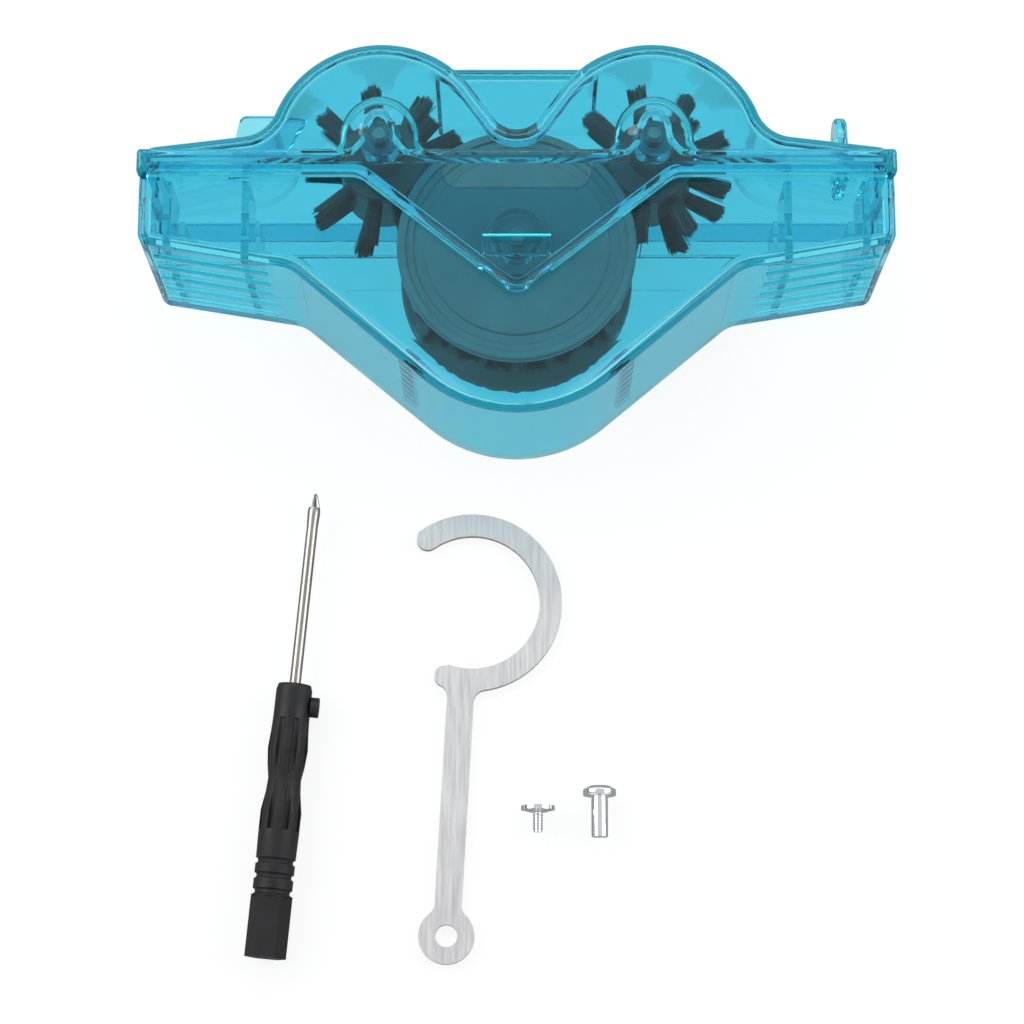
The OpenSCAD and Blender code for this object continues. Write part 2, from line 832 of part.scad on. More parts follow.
module hook_outline() {
    offset(r = -hook_fillet, $fn = outline_fn) offset(r = hook_fillet, $fn = outline_fn) {
        circle(r = eye_r, $fn = outline_fn);
        translate([-stem_w / 2, 0]) square([stem_w, stem_l - hook_r + hook_band / 2]);
        translate([hook_offset, stem_l]) hook_band_2d();
    }
}

module hanger_hook() {
    color(steel) translate([eye_x, eye_y, 0]) rotate(-hook_lean) difference() {
        linear_extrude(strip_t) hook_outline();
        translate([0, 0, -over]) cylinder(r = eye_d / 2, h = strip_t + 2 * over, $fn = outline_fn);
    }
}

module barrel_nut() {
    color(chrome) translate([nut_x, nut_y, nut_head_d / 2]) rotate([90, 0, 0]) difference() {
        union() {
            cylinder(r = nut_d / 2, h = nut_l, $fn = outline_fn);
            translate([0, 0, -nut_head_t]) cylinder(r = nut_head_d / 2, h = nut_head_t, $fn = outline_fn);
            translate([0, 0, -nut_head_t - nut_dome_t])
                cylinder(r1 = nut_dome_share * nut_head_d / 2, r2 = nut_head_d / 2, h = nut_dome_t,
                    $fn = outline_fn);
        }
        translate([0, 0, over]) cylinder(r = nut_bore_d / 2, h = nut_l, $fn = outline_fn);
        block([-nut_head_d, -slot_w / 2, -nut_head_t - nut_dome_t - over],
            [nut_head_d, slot_w / 2, slot_depth - nut_head_t - nut_dome_t]);
    }
}

module hanger_screw() {
    color(chrome) translate([screw_x, screw_y, screw_head_d / 2]) rotate([90, 0, 0]) difference() {
        union() {
            cylinder(r = thread_core_share * screw_d / 2, h = screw_l, $fn = outline_fn);
            for (z = [screw_head_t:thread_pitch:screw_l - thread_pitch]) translate([0, 0, z]) {
                cylinder(r1 = thread_core_share * screw_d / 2, r2 = screw_d / 2, h = thread_pitch / 2,
                    $fn = outline_fn);
                translate([0, 0, thread_pitch / 2])
                    cylinder(r1 = screw_d / 2, r2 = thread_core_share * screw_d / 2, h = thread_pitch / 2,
                        $fn = outline_fn);
            }
            translate([0, 0, -screw_head_t]) cylinder(r = screw_head_d / 2, h = screw_head_t, $fn = outline_fn);
            cylinder(r1 = screw_head_d / 2, r2 = screw_d / 2, h = screw_cone_t, $fn = outline_fn);
        }
        for (a = [0, 90])
            rotate(a)
                block([-screw_d, -slot_w / 2, -screw_head_t - over],
                    [screw_d, slot_w / 2, slot_depth - screw_head_t]);
    }
}

// The screwdriver, along -Y from the blade's end of its handle

module at_driver() {
    translate([driver_x, driver_y, driver_z]) rotate(-driver_lean) rotate([90, 0, 0]) children();
}

module screwdriver_blade() {
    color(steel) at_driver() {
        translate([0, 0, -blade_l + 2 * blade_tip_l])
            cylinder(r = blade_d / 2, h = blade_l - 2 * blade_tip_l + blade_in, $fn = outline_fn);
        translate([0, 0, -blade_l + blade_tip_l])
            cylinder(r1 = blade_bulge_d / 2, r2 = blade_d / 2, h = blade_tip_l, $fn = outline_fn);
        translate([0, 0, -blade_l])
            cylinder(r1 = point_share * blade_d / 2, r2 = blade_bulge_d / 2, h = blade_tip_l, $fn = outline_fn);
    }
}

module screwdriver_handle() {
    turned_l = handle_l - hex_l;
    color(black_plastic) at_driver() difference() {
        union() {
            rotate_extrude($fn = outline_fn)
                polygon(concat([[0, 0]],
                    [for (s = handle_shares) [s[1] * handle_d, s[0] * handle_l]],
                    [[0, handle_shares[len(handle_shares) - 1][0] * handle_l]]));
            translate([0, 0, turned_l]) cylinder(r = hex_share * handle_d, h = hex_l, $fn = 6);
        }
        translate([0, 0, -over]) cylinder(r = blade_d / 2, h = blade_in + over, $fn = outline_fn);
        for (i = [0:flutes - 1])
            rotate(360 * (i + 0.5) / flutes)
                translate([flute_at_share * handle_d, 0, flute_low_share * handle_l])
                    cylinder(r = flute_r, h = flute_l_share * handle_l, $fn = outline_fn);
        for (s = groove_shares)
            translate([0, 0, s * handle_l])
                rotate_extrude($fn = outline_fn)
                    translate([groove_at_share * handle_d, 0]) circle(r = groove_r, $fn = outline_fn);
        translate([0, 0, knob_z]) rotate([0, 90, 0]) cylinder(r = knob_stem_r, h = handle_d, $fn = outline_fn);
    }
}

module screwdriver_knob() {
    color(black_plastic) at_driver() translate([0, 0, knob_z]) rotate([0, 90, 0]) {
        translate([0, 0, blade_d / 2])
            cylinder(r = knob_stem_r, h = collar_r_share * handle_d, $fn = outline_fn);
        translate([0, 0, collar_r_share * handle_d])
            cylinder(r = knob_r, h = knob_t, $fn = outline_fn);
    }
}

lower_tank();
left_baffles();
right_baffles();
axle_bosses();
upper_cover();
hanger_ear();
left_pin_bosses();
right_pin_bosses();
wheel_front_disc();
wheel_rear_disc();
wheel_core();
wheel_bristles();
wheel_axle();
wheel_washers();
left_brush_drum();
left_brush_bristles();
left_brush_pin();
left_brush_washers();
right_brush_drum();
right_brush_bristles();
right_brush_pin();
right_brush_washers();
hanger_hook();
barrel_nut();
hanger_screw();
screwdriver_blade();
screwdriver_handle();
screwdriver_knob();
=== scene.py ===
import json
import logging
import math
import random
from dataclasses import dataclass
from enum import Enum

import bmesh
import bpy
from bpy.types import ID, Material, Mesh, Modifier, Node, NodeSocket, NodeTree, Object
from mathutils import Matrix, Vector

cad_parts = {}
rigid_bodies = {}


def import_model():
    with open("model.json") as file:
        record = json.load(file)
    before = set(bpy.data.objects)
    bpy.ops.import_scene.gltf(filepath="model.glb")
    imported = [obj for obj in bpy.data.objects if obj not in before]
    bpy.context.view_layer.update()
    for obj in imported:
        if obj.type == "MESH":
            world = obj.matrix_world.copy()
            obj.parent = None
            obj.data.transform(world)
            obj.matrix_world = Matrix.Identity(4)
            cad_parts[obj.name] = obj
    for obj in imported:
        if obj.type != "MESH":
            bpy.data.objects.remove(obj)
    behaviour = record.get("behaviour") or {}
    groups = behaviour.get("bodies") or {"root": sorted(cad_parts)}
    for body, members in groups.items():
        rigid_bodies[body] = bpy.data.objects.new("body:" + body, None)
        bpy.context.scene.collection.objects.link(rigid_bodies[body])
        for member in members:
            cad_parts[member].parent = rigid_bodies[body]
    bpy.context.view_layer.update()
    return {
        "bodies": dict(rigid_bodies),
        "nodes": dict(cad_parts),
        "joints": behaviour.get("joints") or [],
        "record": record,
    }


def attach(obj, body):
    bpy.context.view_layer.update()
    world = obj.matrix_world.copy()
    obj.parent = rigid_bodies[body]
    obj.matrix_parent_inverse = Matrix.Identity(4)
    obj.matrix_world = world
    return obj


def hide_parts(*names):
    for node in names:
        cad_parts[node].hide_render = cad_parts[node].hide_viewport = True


LOG = logging.getLogger("chain_cleaner")
SEED = 7
SMOOTH_DEGREES = 32.0

# Metres in a millimetre
MM = 0.001

# Sizes that more than one piece goes by, in millimetres
CASING_Y = 16.7
HALF_W = 87.5
DEPTH = 50.0
MIDDLE_Z = DEPTH / 2
WALL = 2.4
AXLE_H = 41.5
BRUSH_X = 31.8
BRUSH_H = 64.5
CATCH_H = 37.2
BOSS_BACK = 7.2
BOSS_FRONT = 42.8
ROOT_DEPTH = 0.9
FAR_BELOW = -100.0
FAR_ABOVE = 200.0

Point = tuple[float, float]
Triple = tuple[float, float, float]
Root = tuple[Vector, Vector, float]


class Body(Enum):
    """The CAD bodies that pieces ride on."""

    CLEANER = "cleaner"
    COVER = "cover"
    WHEEL = "main_wheel"
    LEFT_BRUSH = "left_brush"
    RIGHT_BRUSH = "right_brush"


class Slot(Enum):
    """The record's material slots."""

    CASING = "casing_plastic"
    GREY = "grey_plastic"
    BLACK = "black_plastic"
    BRISTLE = "bristle"
    STEEL = "steel"
    CHROME = "chrome"


class Join(Enum):
    """How one solid is combined with another."""

    ADD = "UNION"
    CUT = "DIFFERENCE"
    KEEP = "INTERSECT"


# --- Outlines -----------------------------------------------------------------------------------


@dataclass(frozen=True)
class Corner:
    """One corner of an outline, in millimetres, rounded to radius r."""

    x: float
    h: float
    r: float = 0.0


def mirrored(corners: list[Corner]) -> list[Corner]:
    """Returns the corners of the other half, in the order that closes the outline."""
    return [Corner(-c.x, c.h, c.r) for c in reversed(corners)]


def rounded(corners: list[Corner], degrees: float = 4.0) -> list[Point]:
    """Turns corners into a closed outline with an arc at each.

    Args:
        corners: The outline's corners, counter-clockwise.
        degrees: The turn of one step along an arc.

    Returns:
        The outline's points.
    """
    points: list[Point] = []
    count = len(corners)
    for i, corner in enumerate(corners):
        at = Vector((corner.x, corner.h))
        before = corners[i - 1]
        after = corners[(i + 1) % count]
        if corner.r == 0:
            points.append((at.x, at.y))
            continue
        u = (Vector((before.x, before.h)) - at).normalized()
        v = (Vector((after.x, after.h)) - at).normalized()
        half = math.acos(max(-1.0, min(1.0, u.dot(v)))) / 2
        centre = at + (u + v).normalized() * corner.r / math.sin(half)
        start = at + u * corner.r / math.tan(half) - centre
        end = at + v * corner.r / math.tan(half) - centre
        turn = (math.pi - 2 * half) * (1 if start.x * end.y - start.y * end.x > 0 else -1)
        steps = max(2, round(abs(math.degrees(turn)) / degrees))
        for k in range(steps + 1):
            a = turn * k / steps
            points.append((centre.x + start.x * math.cos(a) - start.y * math.sin(a),
                           centre.y + start.x * math.sin(a) + start.y * math.cos(a)))
    return points


def arc(x: float, h: float, r: float, start: float, end: float, degrees: float = 4.0) -> list[Point]:
    """Makes an arc.

    Args:
        x: Its middle's place across.
        h: Its middle's height.
        r: Its radius.
        start: Where it starts, in degrees.
        end: Where it ends, in degrees.
        degrees: The turn of one step.

    Returns:
        Its points.
    """
    steps = max(2, round(abs(end - start) / degrees))
    turns = [math.radians(start + (end - start) * k / steps) for k in range(steps + 1)]
    return [(x + r * math.cos(a), h + r * math.sin(a)) for a in turns]


def inset(points: list[Point], amounts: list[float]) -> list[Point]:
    """Moves each point of a counter-clockwise outline inward along its mitre.

    Args:
        points: The outline.
        amounts: How far each point goes, one for each point.

    Returns:
        The moved points.
    """
    moved = []
    count = len(points)
    for i, (x, h) in enumerate(points):
        a = Vector(points[i]) - Vector(points[i - 1])
        b = Vector(points[(i + 1) % count]) - Vector(points[i])
        a.normalize()
        b.normalize()
        m = Vector((-a.y - b.y, a.x + b.x)) / max(1 + a.dot(b), 0.2)
        moved.append((x + m.x * amounts[i], h + m.y * amounts[i]))
    for _ in range(4):
        moved = unfolded(points, moved)
    return moved


def unfolded(points: list[Point], moved: list[Point], least: float = 0.02) -> list[Point]:
    """Squares the corners where a moved outline would fold back over itself.

    Args:
        points: The outline before its points moved.
        moved: The outline after that.
        least: The length of the chamfer that is left at such a corner.

    Returns:
        The outline with as many points and no folds.
    """
    count = len(points)
    old = [Vector(points[(i + 1) % count]) - Vector(points[i]) for i in range(count)]
    new = [Vector(moved[(i + 1) % count]) - Vector(moved[i]) for i in range(count)]
    folds = [a.dot(b) <= 0 for a, b in zip(old, new)]
    done = list(moved)
    for i in range(count):
        if not folds[i] or folds[i - 1]:
            continue
        j = i
        while folds[j % count]:
            j += 1
        before, after = old[i - 1].normalized(), old[j % count].normalized()
        gap = Vector(moved[j % count]) - Vector(moved[i])
        turn = before.cross(after)
        reach = gap.cross(after) / turn if abs(turn) > 0.01 else 0.0
        at = Vector(moved[i]) + before * reach
        start, end = at - before * least, at + after * least
        for k in range(i, j + 1):
            p = start.lerp(end, (k - i) / (j - i))
            done[k % count] = (p.x, p.y)
    return done


def inset_all(points: list[Point], amount: float) -> list[Point]:
    """Moves a whole outline inward by one amount."""
    return inset(points, [amount] * len(points))


def cleaned(points: list[Point], least: float = 0.02) -> list[Point]:
    """Leaves out the points that repeat their neighbour.

    Args:
        points: The outline.
        least: How far apart two points have to be.

    Returns:
        The outline.
    """
    kept: list[Point] = []
    for p in points:
        if not kept or (Vector(p) - Vector(kept[-1])).length > least:
            kept.append(p)
    if (Vector(kept[0]) - Vector(kept[-1])).length <= least:
        kept.pop()
    return kept


# --- Solids -------------------------------------------------------------------------------------


def placed(name: str, data: ID) -> Object:
    """Makes an object of some data and links it to the scene."""
    obj = bpy.data.objects.new(name, data)
    bpy.context.scene.collection.objects.link(obj)
    return obj


def applied(obj: Object, mod: Modifier) -> Mesh:
    """Returns the object's mesh as a modifier leaves it, and removes the modifier."""
    mesh = bpy.data.meshes.new_from_object(obj.evaluated_get(bpy.context.evaluated_depsgraph_get()))
    obj.modifiers.remove(mod)
    return mesh


class Solid:
    """A closed mesh in millimetres that others are added to and cut from."""

    def __init__(self, bm: bmesh.types.BMesh) -> None:
        """Takes over a closed bmesh."""
        bmesh.ops.recalc_face_normals(bm, faces=bm.faces)
        bmesh.ops.triangulate(bm, faces=bm.faces)
        mesh = bpy.data.meshes.new("solid")
        bm.to_mesh(mesh)
        bm.free()
        self.obj = placed("solid", mesh)

    def join(self, other: "Solid", how: Join) -> "Solid":
        """Combines this solid with another, which is used up.

        Args:
            other: The other solid.
            how: Whether it is added, cut away or kept in common.

        Returns:
            This solid.
        """
        for solver in ("MANIFOLD", "EXACT"):
            mod = self.obj.modifiers.new("join", "BOOLEAN")
            mod.object = other.obj
            mod.operation = how.value
            mod.solver = solver
            mesh = applied(self.obj, mod)
            if len(mesh.vertices) > 3:
                break
            LOG.warning("the %s solver gave nothing", solver)
        old = self.obj.data
        self.obj.data = mesh
        bpy.data.meshes.remove(old)
        other.drop()
        return self

    def add(self, *others: "Solid") -> "Solid":
        """Adds other solids to this one."""
        for other in others:
            self.join(other, Join.ADD)
        return self

    def cut(self, *others: "Solid") -> "Solid":
        """Cuts other solids from this one."""
        for other in others:
            self.join(other, Join.CUT)
        return self

    def keep(self, other: "Solid") -> "Solid":
        """Keeps what this solid has in common with another."""
        return self.join(other, Join.KEEP)

    def drop(self) -> None:
        """Removes the solid."""
        mesh = self.obj.data
        bpy.data.objects.remove(self.obj)
        bpy.data.meshes.remove(mesh)

    def mirror(self) -> "Solid":
        """Returns a copy on the other side of the middle."""
        bm = bmesh.new()
        bm.from_mesh(self.obj.data)
        bmesh.ops.transform(bm, matrix=Matrix.Scale(-1, 4, (1, 0, 0)), verts=bm.verts)
        return Solid(bm)

    def piece(self, name: str, smooth_degrees: float = SMOOTH_DEGREES,
              offset: Point = (0.0, CASING_Y)) -> Object:
        """Makes the finished object, in metres and in the frame's place.

        Args:
            name: The object's name.
            smooth_degrees: Edges that turn less than this are shaded smooth.
            offset: Where the solid's own origin lies, in millimetres.

        Returns:
            The object.
        """
        obj = self.obj
        obj.name = name
        obj.data.name = name
        obj.data.transform(Matrix.Translation((offset[0] * MM, offset[1] * MM, 0)) @ Matrix.Scale(MM, 4))
        smooth(obj.data, smooth_degrees)
        return evened(obj)


def evened(obj: Object) -> Object:
    """Weights the object's normals by area, so that flat faces beside a fillet stay flat.

    Args:
        obj: The object.

    Returns:
        The object.
    """
    mod = obj.modifiers.new("even", "WEIGHTED_NORMAL")
    mod.mode = "FACE_AREA"
    mod.weight = 100
    mod.keep_sharp = True
    name = obj.data.name
    obj.data = applied(obj, mod)
    obj.data.name = name
    return obj


def smooth(mesh: Mesh, degrees: float) -> None:
    """Shades the mesh smooth apart from edges that turn more than some degrees."""
    mesh.polygons.foreach_set("use_smooth", [True] * len(mesh.polygons))
    mesh.set_sharp_from_angle(angle=math.radians(degrees))


def stacked(rings: list[list[Vector]]) -> Solid:
    """Makes a closed solid from rings, capped at both ends.

    Args:
        rings: The rings, with as many points each.

    Returns:
        The solid.
    """
    bm = bmesh.new()
    rows = [[bm.verts.new(p) for p in ring] for ring in rings]
    count = len(rows[0])
    for low, high in zip(rows, rows[1:]):
        for i in range(count):
            j = (i + 1) % count
            bm.faces.new((low[i], low[j], high[j], high[i]))
    bm.faces.new(list(reversed(rows[0])))
    bm.faces.new(rows[-1])
    return Solid(bm)


def lofted(outline: list[Point], low: float, high: float, front: float | list[float], back: float = 0.0,
           steps: int = 7) -> Solid:
    """Makes a slab along Z from an outline, with its front and back edges rounded.

    Args:
        outline: The outline, counter-clockwise.
        low: The Z of its back.
        high: The Z of its front.
        front: The radius of the front edge, for the whole outline or point by point.
        back: The radius of the back edge.
        steps: Steps of a rounded edge.

    Returns:
        The solid.
    """
    fronts = [front] * len(outline) if isinstance(front, (int, float)) else front
    rings: list[list[Vector]] = []
    if back > 0:
        for k in range(steps):
            a = math.pi / 2 * k / steps
            flat = inset_all(outline, back * (1 - math.sin(a)))
            rings.append([Vector((x, h, low + back * (1 - math.cos(a)))) for x, h in flat])
    else:
        rings.append([Vector((x, h, low)) for x, h in outline])
    if max(fronts) > 0:
        for k in range(steps + 1):
            a = math.pi / 2 * k / steps
            flat = inset(outline, [r * (1 - math.cos(a)) for r in fronts])
            rings.append([Vector((x, h, high - r * (1 - math.sin(a)))) for (x, h), r in zip(flat, fronts)])
    else:
        rings.append([Vector((x, h, high)) for x, h in outline])
    return stacked(rings)


def block(low: Triple, high: Triple, round_r: float = 0.0) -> Solid:
    """Makes a block between two corners, with rounded edges if asked.

    Args:
        low: Its lowest corner.
        high: Its highest corner.
        round_r: The radius of its edges.

    Returns:
        The solid.
    """
    bm = bmesh.new()
    bmesh.ops.create_cube(bm, size=1)
    size = Vector(high) - Vector(low)
    middle = (Vector(high) + Vector(low)) / 2
    bmesh.ops.transform(bm, matrix=Matrix.Translation(middle) @ Matrix.Diagonal((*size, 1)), verts=bm.verts)
    if round_r > 0:
        bmesh.ops.bevel(bm, geom=list(bm.edges), offset=round_r, segments=3, profile=0.5, affect="EDGES")
    return Solid(bm)


def between(low: float, high: float) -> Solid:
    """Makes a block that holds everything between two heights."""
    return block((-200, low, -100), (200, high, 200))


def turned(profile: list[Point], sides: int = 72) -> Solid:
    """Turns a profile about the Z axis into a closed solid.

    Args:
        profile: Its radii and heights.
        sides: How many sides it gets.

    Returns:
        The solid.
    """
    bm = bmesh.new()
    rows = []
    for r, z in profile:
        if r < 0.0001:
            rows.append([bm.verts.new((0, 0, z))])
        else:
            rows.append([bm.verts.new((r * math.cos(a), r * math.sin(a), z))
                         for a in (2 * math.pi * k / sides for k in range(sides))])
    for low, high in zip(rows, rows[1:]):
        for k in range(sides):
            n = (k + 1) % sides
            ring = [low[k % len(low)], low[n % len(low)], high[n % len(high)], high[k % len(high)]]
            bm.faces.new(list(dict.fromkeys(ring)))
    for row in (rows[0], rows[-1]):
        if len(row) > 1:
            bm.faces.new(row)
    return Solid(bm)


def moved(solid: Solid, matrix: Matrix) -> Solid:
    """Moves a solid by a matrix and returns it."""
    solid.obj.data.transform(matrix)
    return solid


def pin(x: float, h: float, r: float, low: float, high: float, edge: float = 0.0, sides: int = 72) -> Solid:
    """Makes a cylinder along the depth, with rounded rims if asked.

    Args:
        x: Its middle's place across.
        h: Its middle's height.
        r: Its radius.
        low: The Z of its back.
        high: The Z of its front.
        edge: The radius of its rims.
        sides: How many sides it gets.

    Returns:
        The solid.
    """
    if edge > 0:
        bend = [(r - edge * (1 - math.cos(a)), edge * (1 - math.sin(a))) for a in (0, 0.52, 1.05, 1.5708)]
        profile = [(p, low + q) for p, q in reversed(bend)] + [(p, high - q) for p, q in bend]
    else:
        profile = [(r, low), (r, high)]
    return moved(turned(profile, sides), Matrix.Translation((x, h, 0)))


def collar(x: float, h: float, inner: float, outer: float, half: float) -> Solid:
    """Makes the band that a ring of tufts stands on.

    Args:
        x: Its middle's place across.
        h: Its middle's height.
        inner: The radius of its ends' edge.
        outer: Its radius.
        half: Half its width.

    Returns:
        The solid.
    """
    profile = [(inner, -half), (outer, -half), (outer, half), (inner, half)]
    return moved(turned(profile), Matrix.Translation((x, h, MIDDLE_Z)))


# --- Finishes -----------------------------------------------------------------------------------


class Graph:
    """A node tree that nodes are added to, with what feeds them."""

    def __init__(self, tree: NodeTree) -> None:
        """Takes the tree to build in."""
        self.tree = tree

    def feed(self, socket: NodeSocket, value: object) -> None:
        """Links a socket to another, or sets it to a value.

        Args:
            socket: The input.
            value: The output that feeds it, or its value.
        """
        if isinstance(value, NodeSocket):
            self.tree.links.new(value, socket)
        else:
            socket.default_value = value

    def fill(self, node: Node, inputs: dict[str | int, object]) -> Node:
        """Feeds some of a node's inputs and returns the node."""
        for key, value in inputs.items():
            self.feed(node.inputs[key], value)
        return node

    def add(self, kind: str, inputs: dict[str | int, object] | None = None, **settings: object) -> Node:
        """Adds a node.

        Args:
            kind: Its type.
            inputs: What feeds its inputs.
            **settings: Its settings.

        Returns:
            The node.
        """
        node = self.tree.nodes.new(kind)
        for name, value in settings.items():
            setattr(node, name, value)
        return self.fill(node, inputs or {})

    def calc(self, operation: str, *values: NodeSocket | float) -> NodeSocket:
        """Returns the result of a math node on some values."""
        return self.add("ShaderNodeMath", dict(enumerate(values)), operation=operation).outputs[0]

    def mapped(self, value: NodeSocket, start: Point, end: Point, kind: str = "LINEAR") -> NodeSocket:
        """Maps a value from one range to another.

        Args:
            value: The value.
            start: The range that it has.
            end: The range that it gets.
            kind: How it goes from one end to the other.

        Returns:
            The mapped value.
        """
        ranges = {"Value": value, "From Min": start[0], "From Max": start[1], "To Min": end[0], "To Max": end[1]}
        return self.add("ShaderNodeMapRange", ranges, interpolation_type=kind).outputs["Result"]

    def blended(self, share: NodeSocket, first: NodeSocket, second: NodeSocket) -> NodeSocket:
        """Mixes two shaders by a share."""
        return self.add("ShaderNodeMixShader", {"Fac": share, 1: first, 2: second}).outputs["Shader"]

    def noise(self, scale: float, stretch: Triple = (1, 1, 1), detail: float = 4.0) -> NodeSocket:
        """Adds a noise texture on Object coordinates.

        Args:
            scale: The noise's scale, per metre.
            stretch: How it is stretched along each axis.
            detail: Its detail.

        Returns:
            Its factor.
        """
        place = self.add("ShaderNodeTexCoord").outputs["Object"]
        spread = self.add("ShaderNodeMapping", {"Vector": place, "Scale": stretch}).outputs["Vector"]
        return self.add("ShaderNodeTexNoise", {"Vector": spread, "Scale": scale, "Detail": detail}).outputs["Fac"]


@dataclass(frozen=True)
class Finish:
    """What every finish has: a name, a colour and a roughness."""

    name: str
    colour: Triple
    roughness: float

    def make(self) -> Material:
        """Makes the material."""
        mat = bpy.data.materials.new(self.name)
        mat.use_nodes = True
        graph = Graph(mat.node_tree)
        bsdf = mat.node_tree.nodes["Principled BSDF"]
        graph.fill(bsdf, {"Base Color": (*self.colour, 1), "Roughness": self.roughness})
        self.shade(graph, bsdf)
        return mat

    def shade(self, graph: Graph, bsdf: Node) -> None:
        """Adds what sets this finish apart, which is nothing here."""

    def worn(self, graph: Graph, bsdf: Node, share: NodeSocket, other: Triple) -> None:
        """Mixes the finish's colour with another by a share."""
        mix = graph.add("ShaderNodeMix", {"A": (*self.colour, 1), "B": (*other, 1), "Factor": share}, data_type="RGBA")
        graph.feed(bsdf.inputs["Base Color"], mix.outputs["Result"])

    def ranged(self, graph: Graph, bsdf: Node, share: NodeSocket, least: float, most: float) -> None:
        """Varies the roughness between two shares of it."""
        spread = (least * self.roughness, most * self.roughness)
        graph.feed(bsdf.inputs["Roughness"], graph.mapped(share, (0.3, 0.7), spread))

    def bump(self, graph: Graph, bsdf: Node, height: NodeSocket, depth: float, strength: float) -> None:
        """Adds a bump of some depth in metres."""
        node = graph.add("ShaderNodeBump", {"Height": height, "Distance": depth, "Strength": strength})
        graph.feed(bsdf.inputs["Normal"], node.outputs["Normal"])


@dataclass(frozen=True)
class ClearPlastic(Finish):
    """Clear tinted plastic, which takes its colour from each face and from its depth."""

    absorbed: Triple = (75.0, 15.5, 12.0)
    ior: float = 1.38

    def shade(self, graph: Graph, bsdf: Node) -> None:
        """Makes it clear, tints its depth and lets light cast no hard shadow through it."""
        graph.fill(bsdf, {"Transmission Weight": 1.0, "IOR": self.ior})
        self.ranged(graph, bsdf, graph.noise(160.0), 1, 3)
        density = 1.05 * max(self.absorbed)
        left = (*[1 - a / density for a in self.absorbed], 1)
        depth = graph.add("ShaderNodeVolumeAbsorption", {"Density": density, "Color": left})
        shadow = graph.add("ShaderNodeLightPath").outputs["Is Shadow Ray"]
        clear = graph.add("ShaderNodeBsdfTransparent").outputs["BSDF"]
        surface = graph.blended(shadow, bsdf.outputs["BSDF"], clear)
        graph.fill(graph.tree.nodes["Material Output"], {"Volume": depth.outputs["Volume"], "Surface": surface})


@dataclass(frozen=True)
class MouldedPlastic(Finish):
    """Moulded plastic with a fine grain and faint wear."""

    faded: Triple
    grain_scale: float = 2600.0
    grain_depth: float = 0.00004
    shine: float = 0.5

    def shade(self, graph: Graph, bsdf: Node) -> None:
        """Adds the wear and the grain."""
        graph.fill(bsdf, {"Specular IOR Level": self.shine})
        wide = graph.noise(140.0)
        self.worn(graph, bsdf, wide, self.faded)
        self.ranged(graph, bsdf, wide, 0.85, 1.2)
        self.bump(graph, bsdf, graph.noise(self.grain_scale, detail=2.0), self.grain_depth, 0.6)


@dataclass(frozen=True)
class Metal(Finish):
    """Metal with fine scratches along one direction."""

    stretch: Triple = (1.0, 1.0, 1.0)
    scratch_scale: float = 900.0
    scratch_depth: float = 0.000015
    spread: float = 1.6

    def shade(self, graph: Graph, bsdf: Node) -> None:
        """Adds the stains and the scratches."""
        graph.fill(bsdf, {"Metallic": 1.0})
        fine = graph.noise(self.scratch_scale, self.stretch, 6.0)
        self.worn(graph, bsdf, graph.noise(90.0), tuple(0.86 * c for c in self.colour))
        self.ranged(graph, bsdf, fine, 1, self.spread)
        self.bump(graph, bsdf, fine, self.scratch_depth, 0.5)


CASING = ClearPlastic("casing_clear", (0.29, 0.765, 0.875), 0.006)
DISC = MouldedPlastic("disc_grey", (0.1, 0.095, 0.1), 0.38, (0.13, 0.125, 0.13))
BLACK = MouldedPlastic("drum_black", (0.018, 0.018, 0.02), 0.42, (0.03, 0.03, 0.032))
HANDLE = MouldedPlastic("handle_black", (0.008, 0.008, 0.009), 0.5, (0.012, 0.012, 0.013), shine=0.25)
BRISTLE = MouldedPlastic("bristle_black", (0.02, 0.02, 0.022), 0.4, (0.045, 0.045, 0.05))
SATIN = Metal("satin_steel", (0.6, 0.6, 0.61), 0.34, (1.0, 0.06, 1.0), 1400.0, 0.00003)
AXLE = Metal("axle_steel", (0.2, 0.21, 0.22), 0.36)
BLADE = Metal("blade_steel", (0.3, 0.29, 0.27), 0.22, (1.0, 0.05, 1.0))
PLATED = Metal("bright_plate", (0.78, 0.79, 0.8), 0.09)


# --- The casing ---------------------------------------------------------------------------------


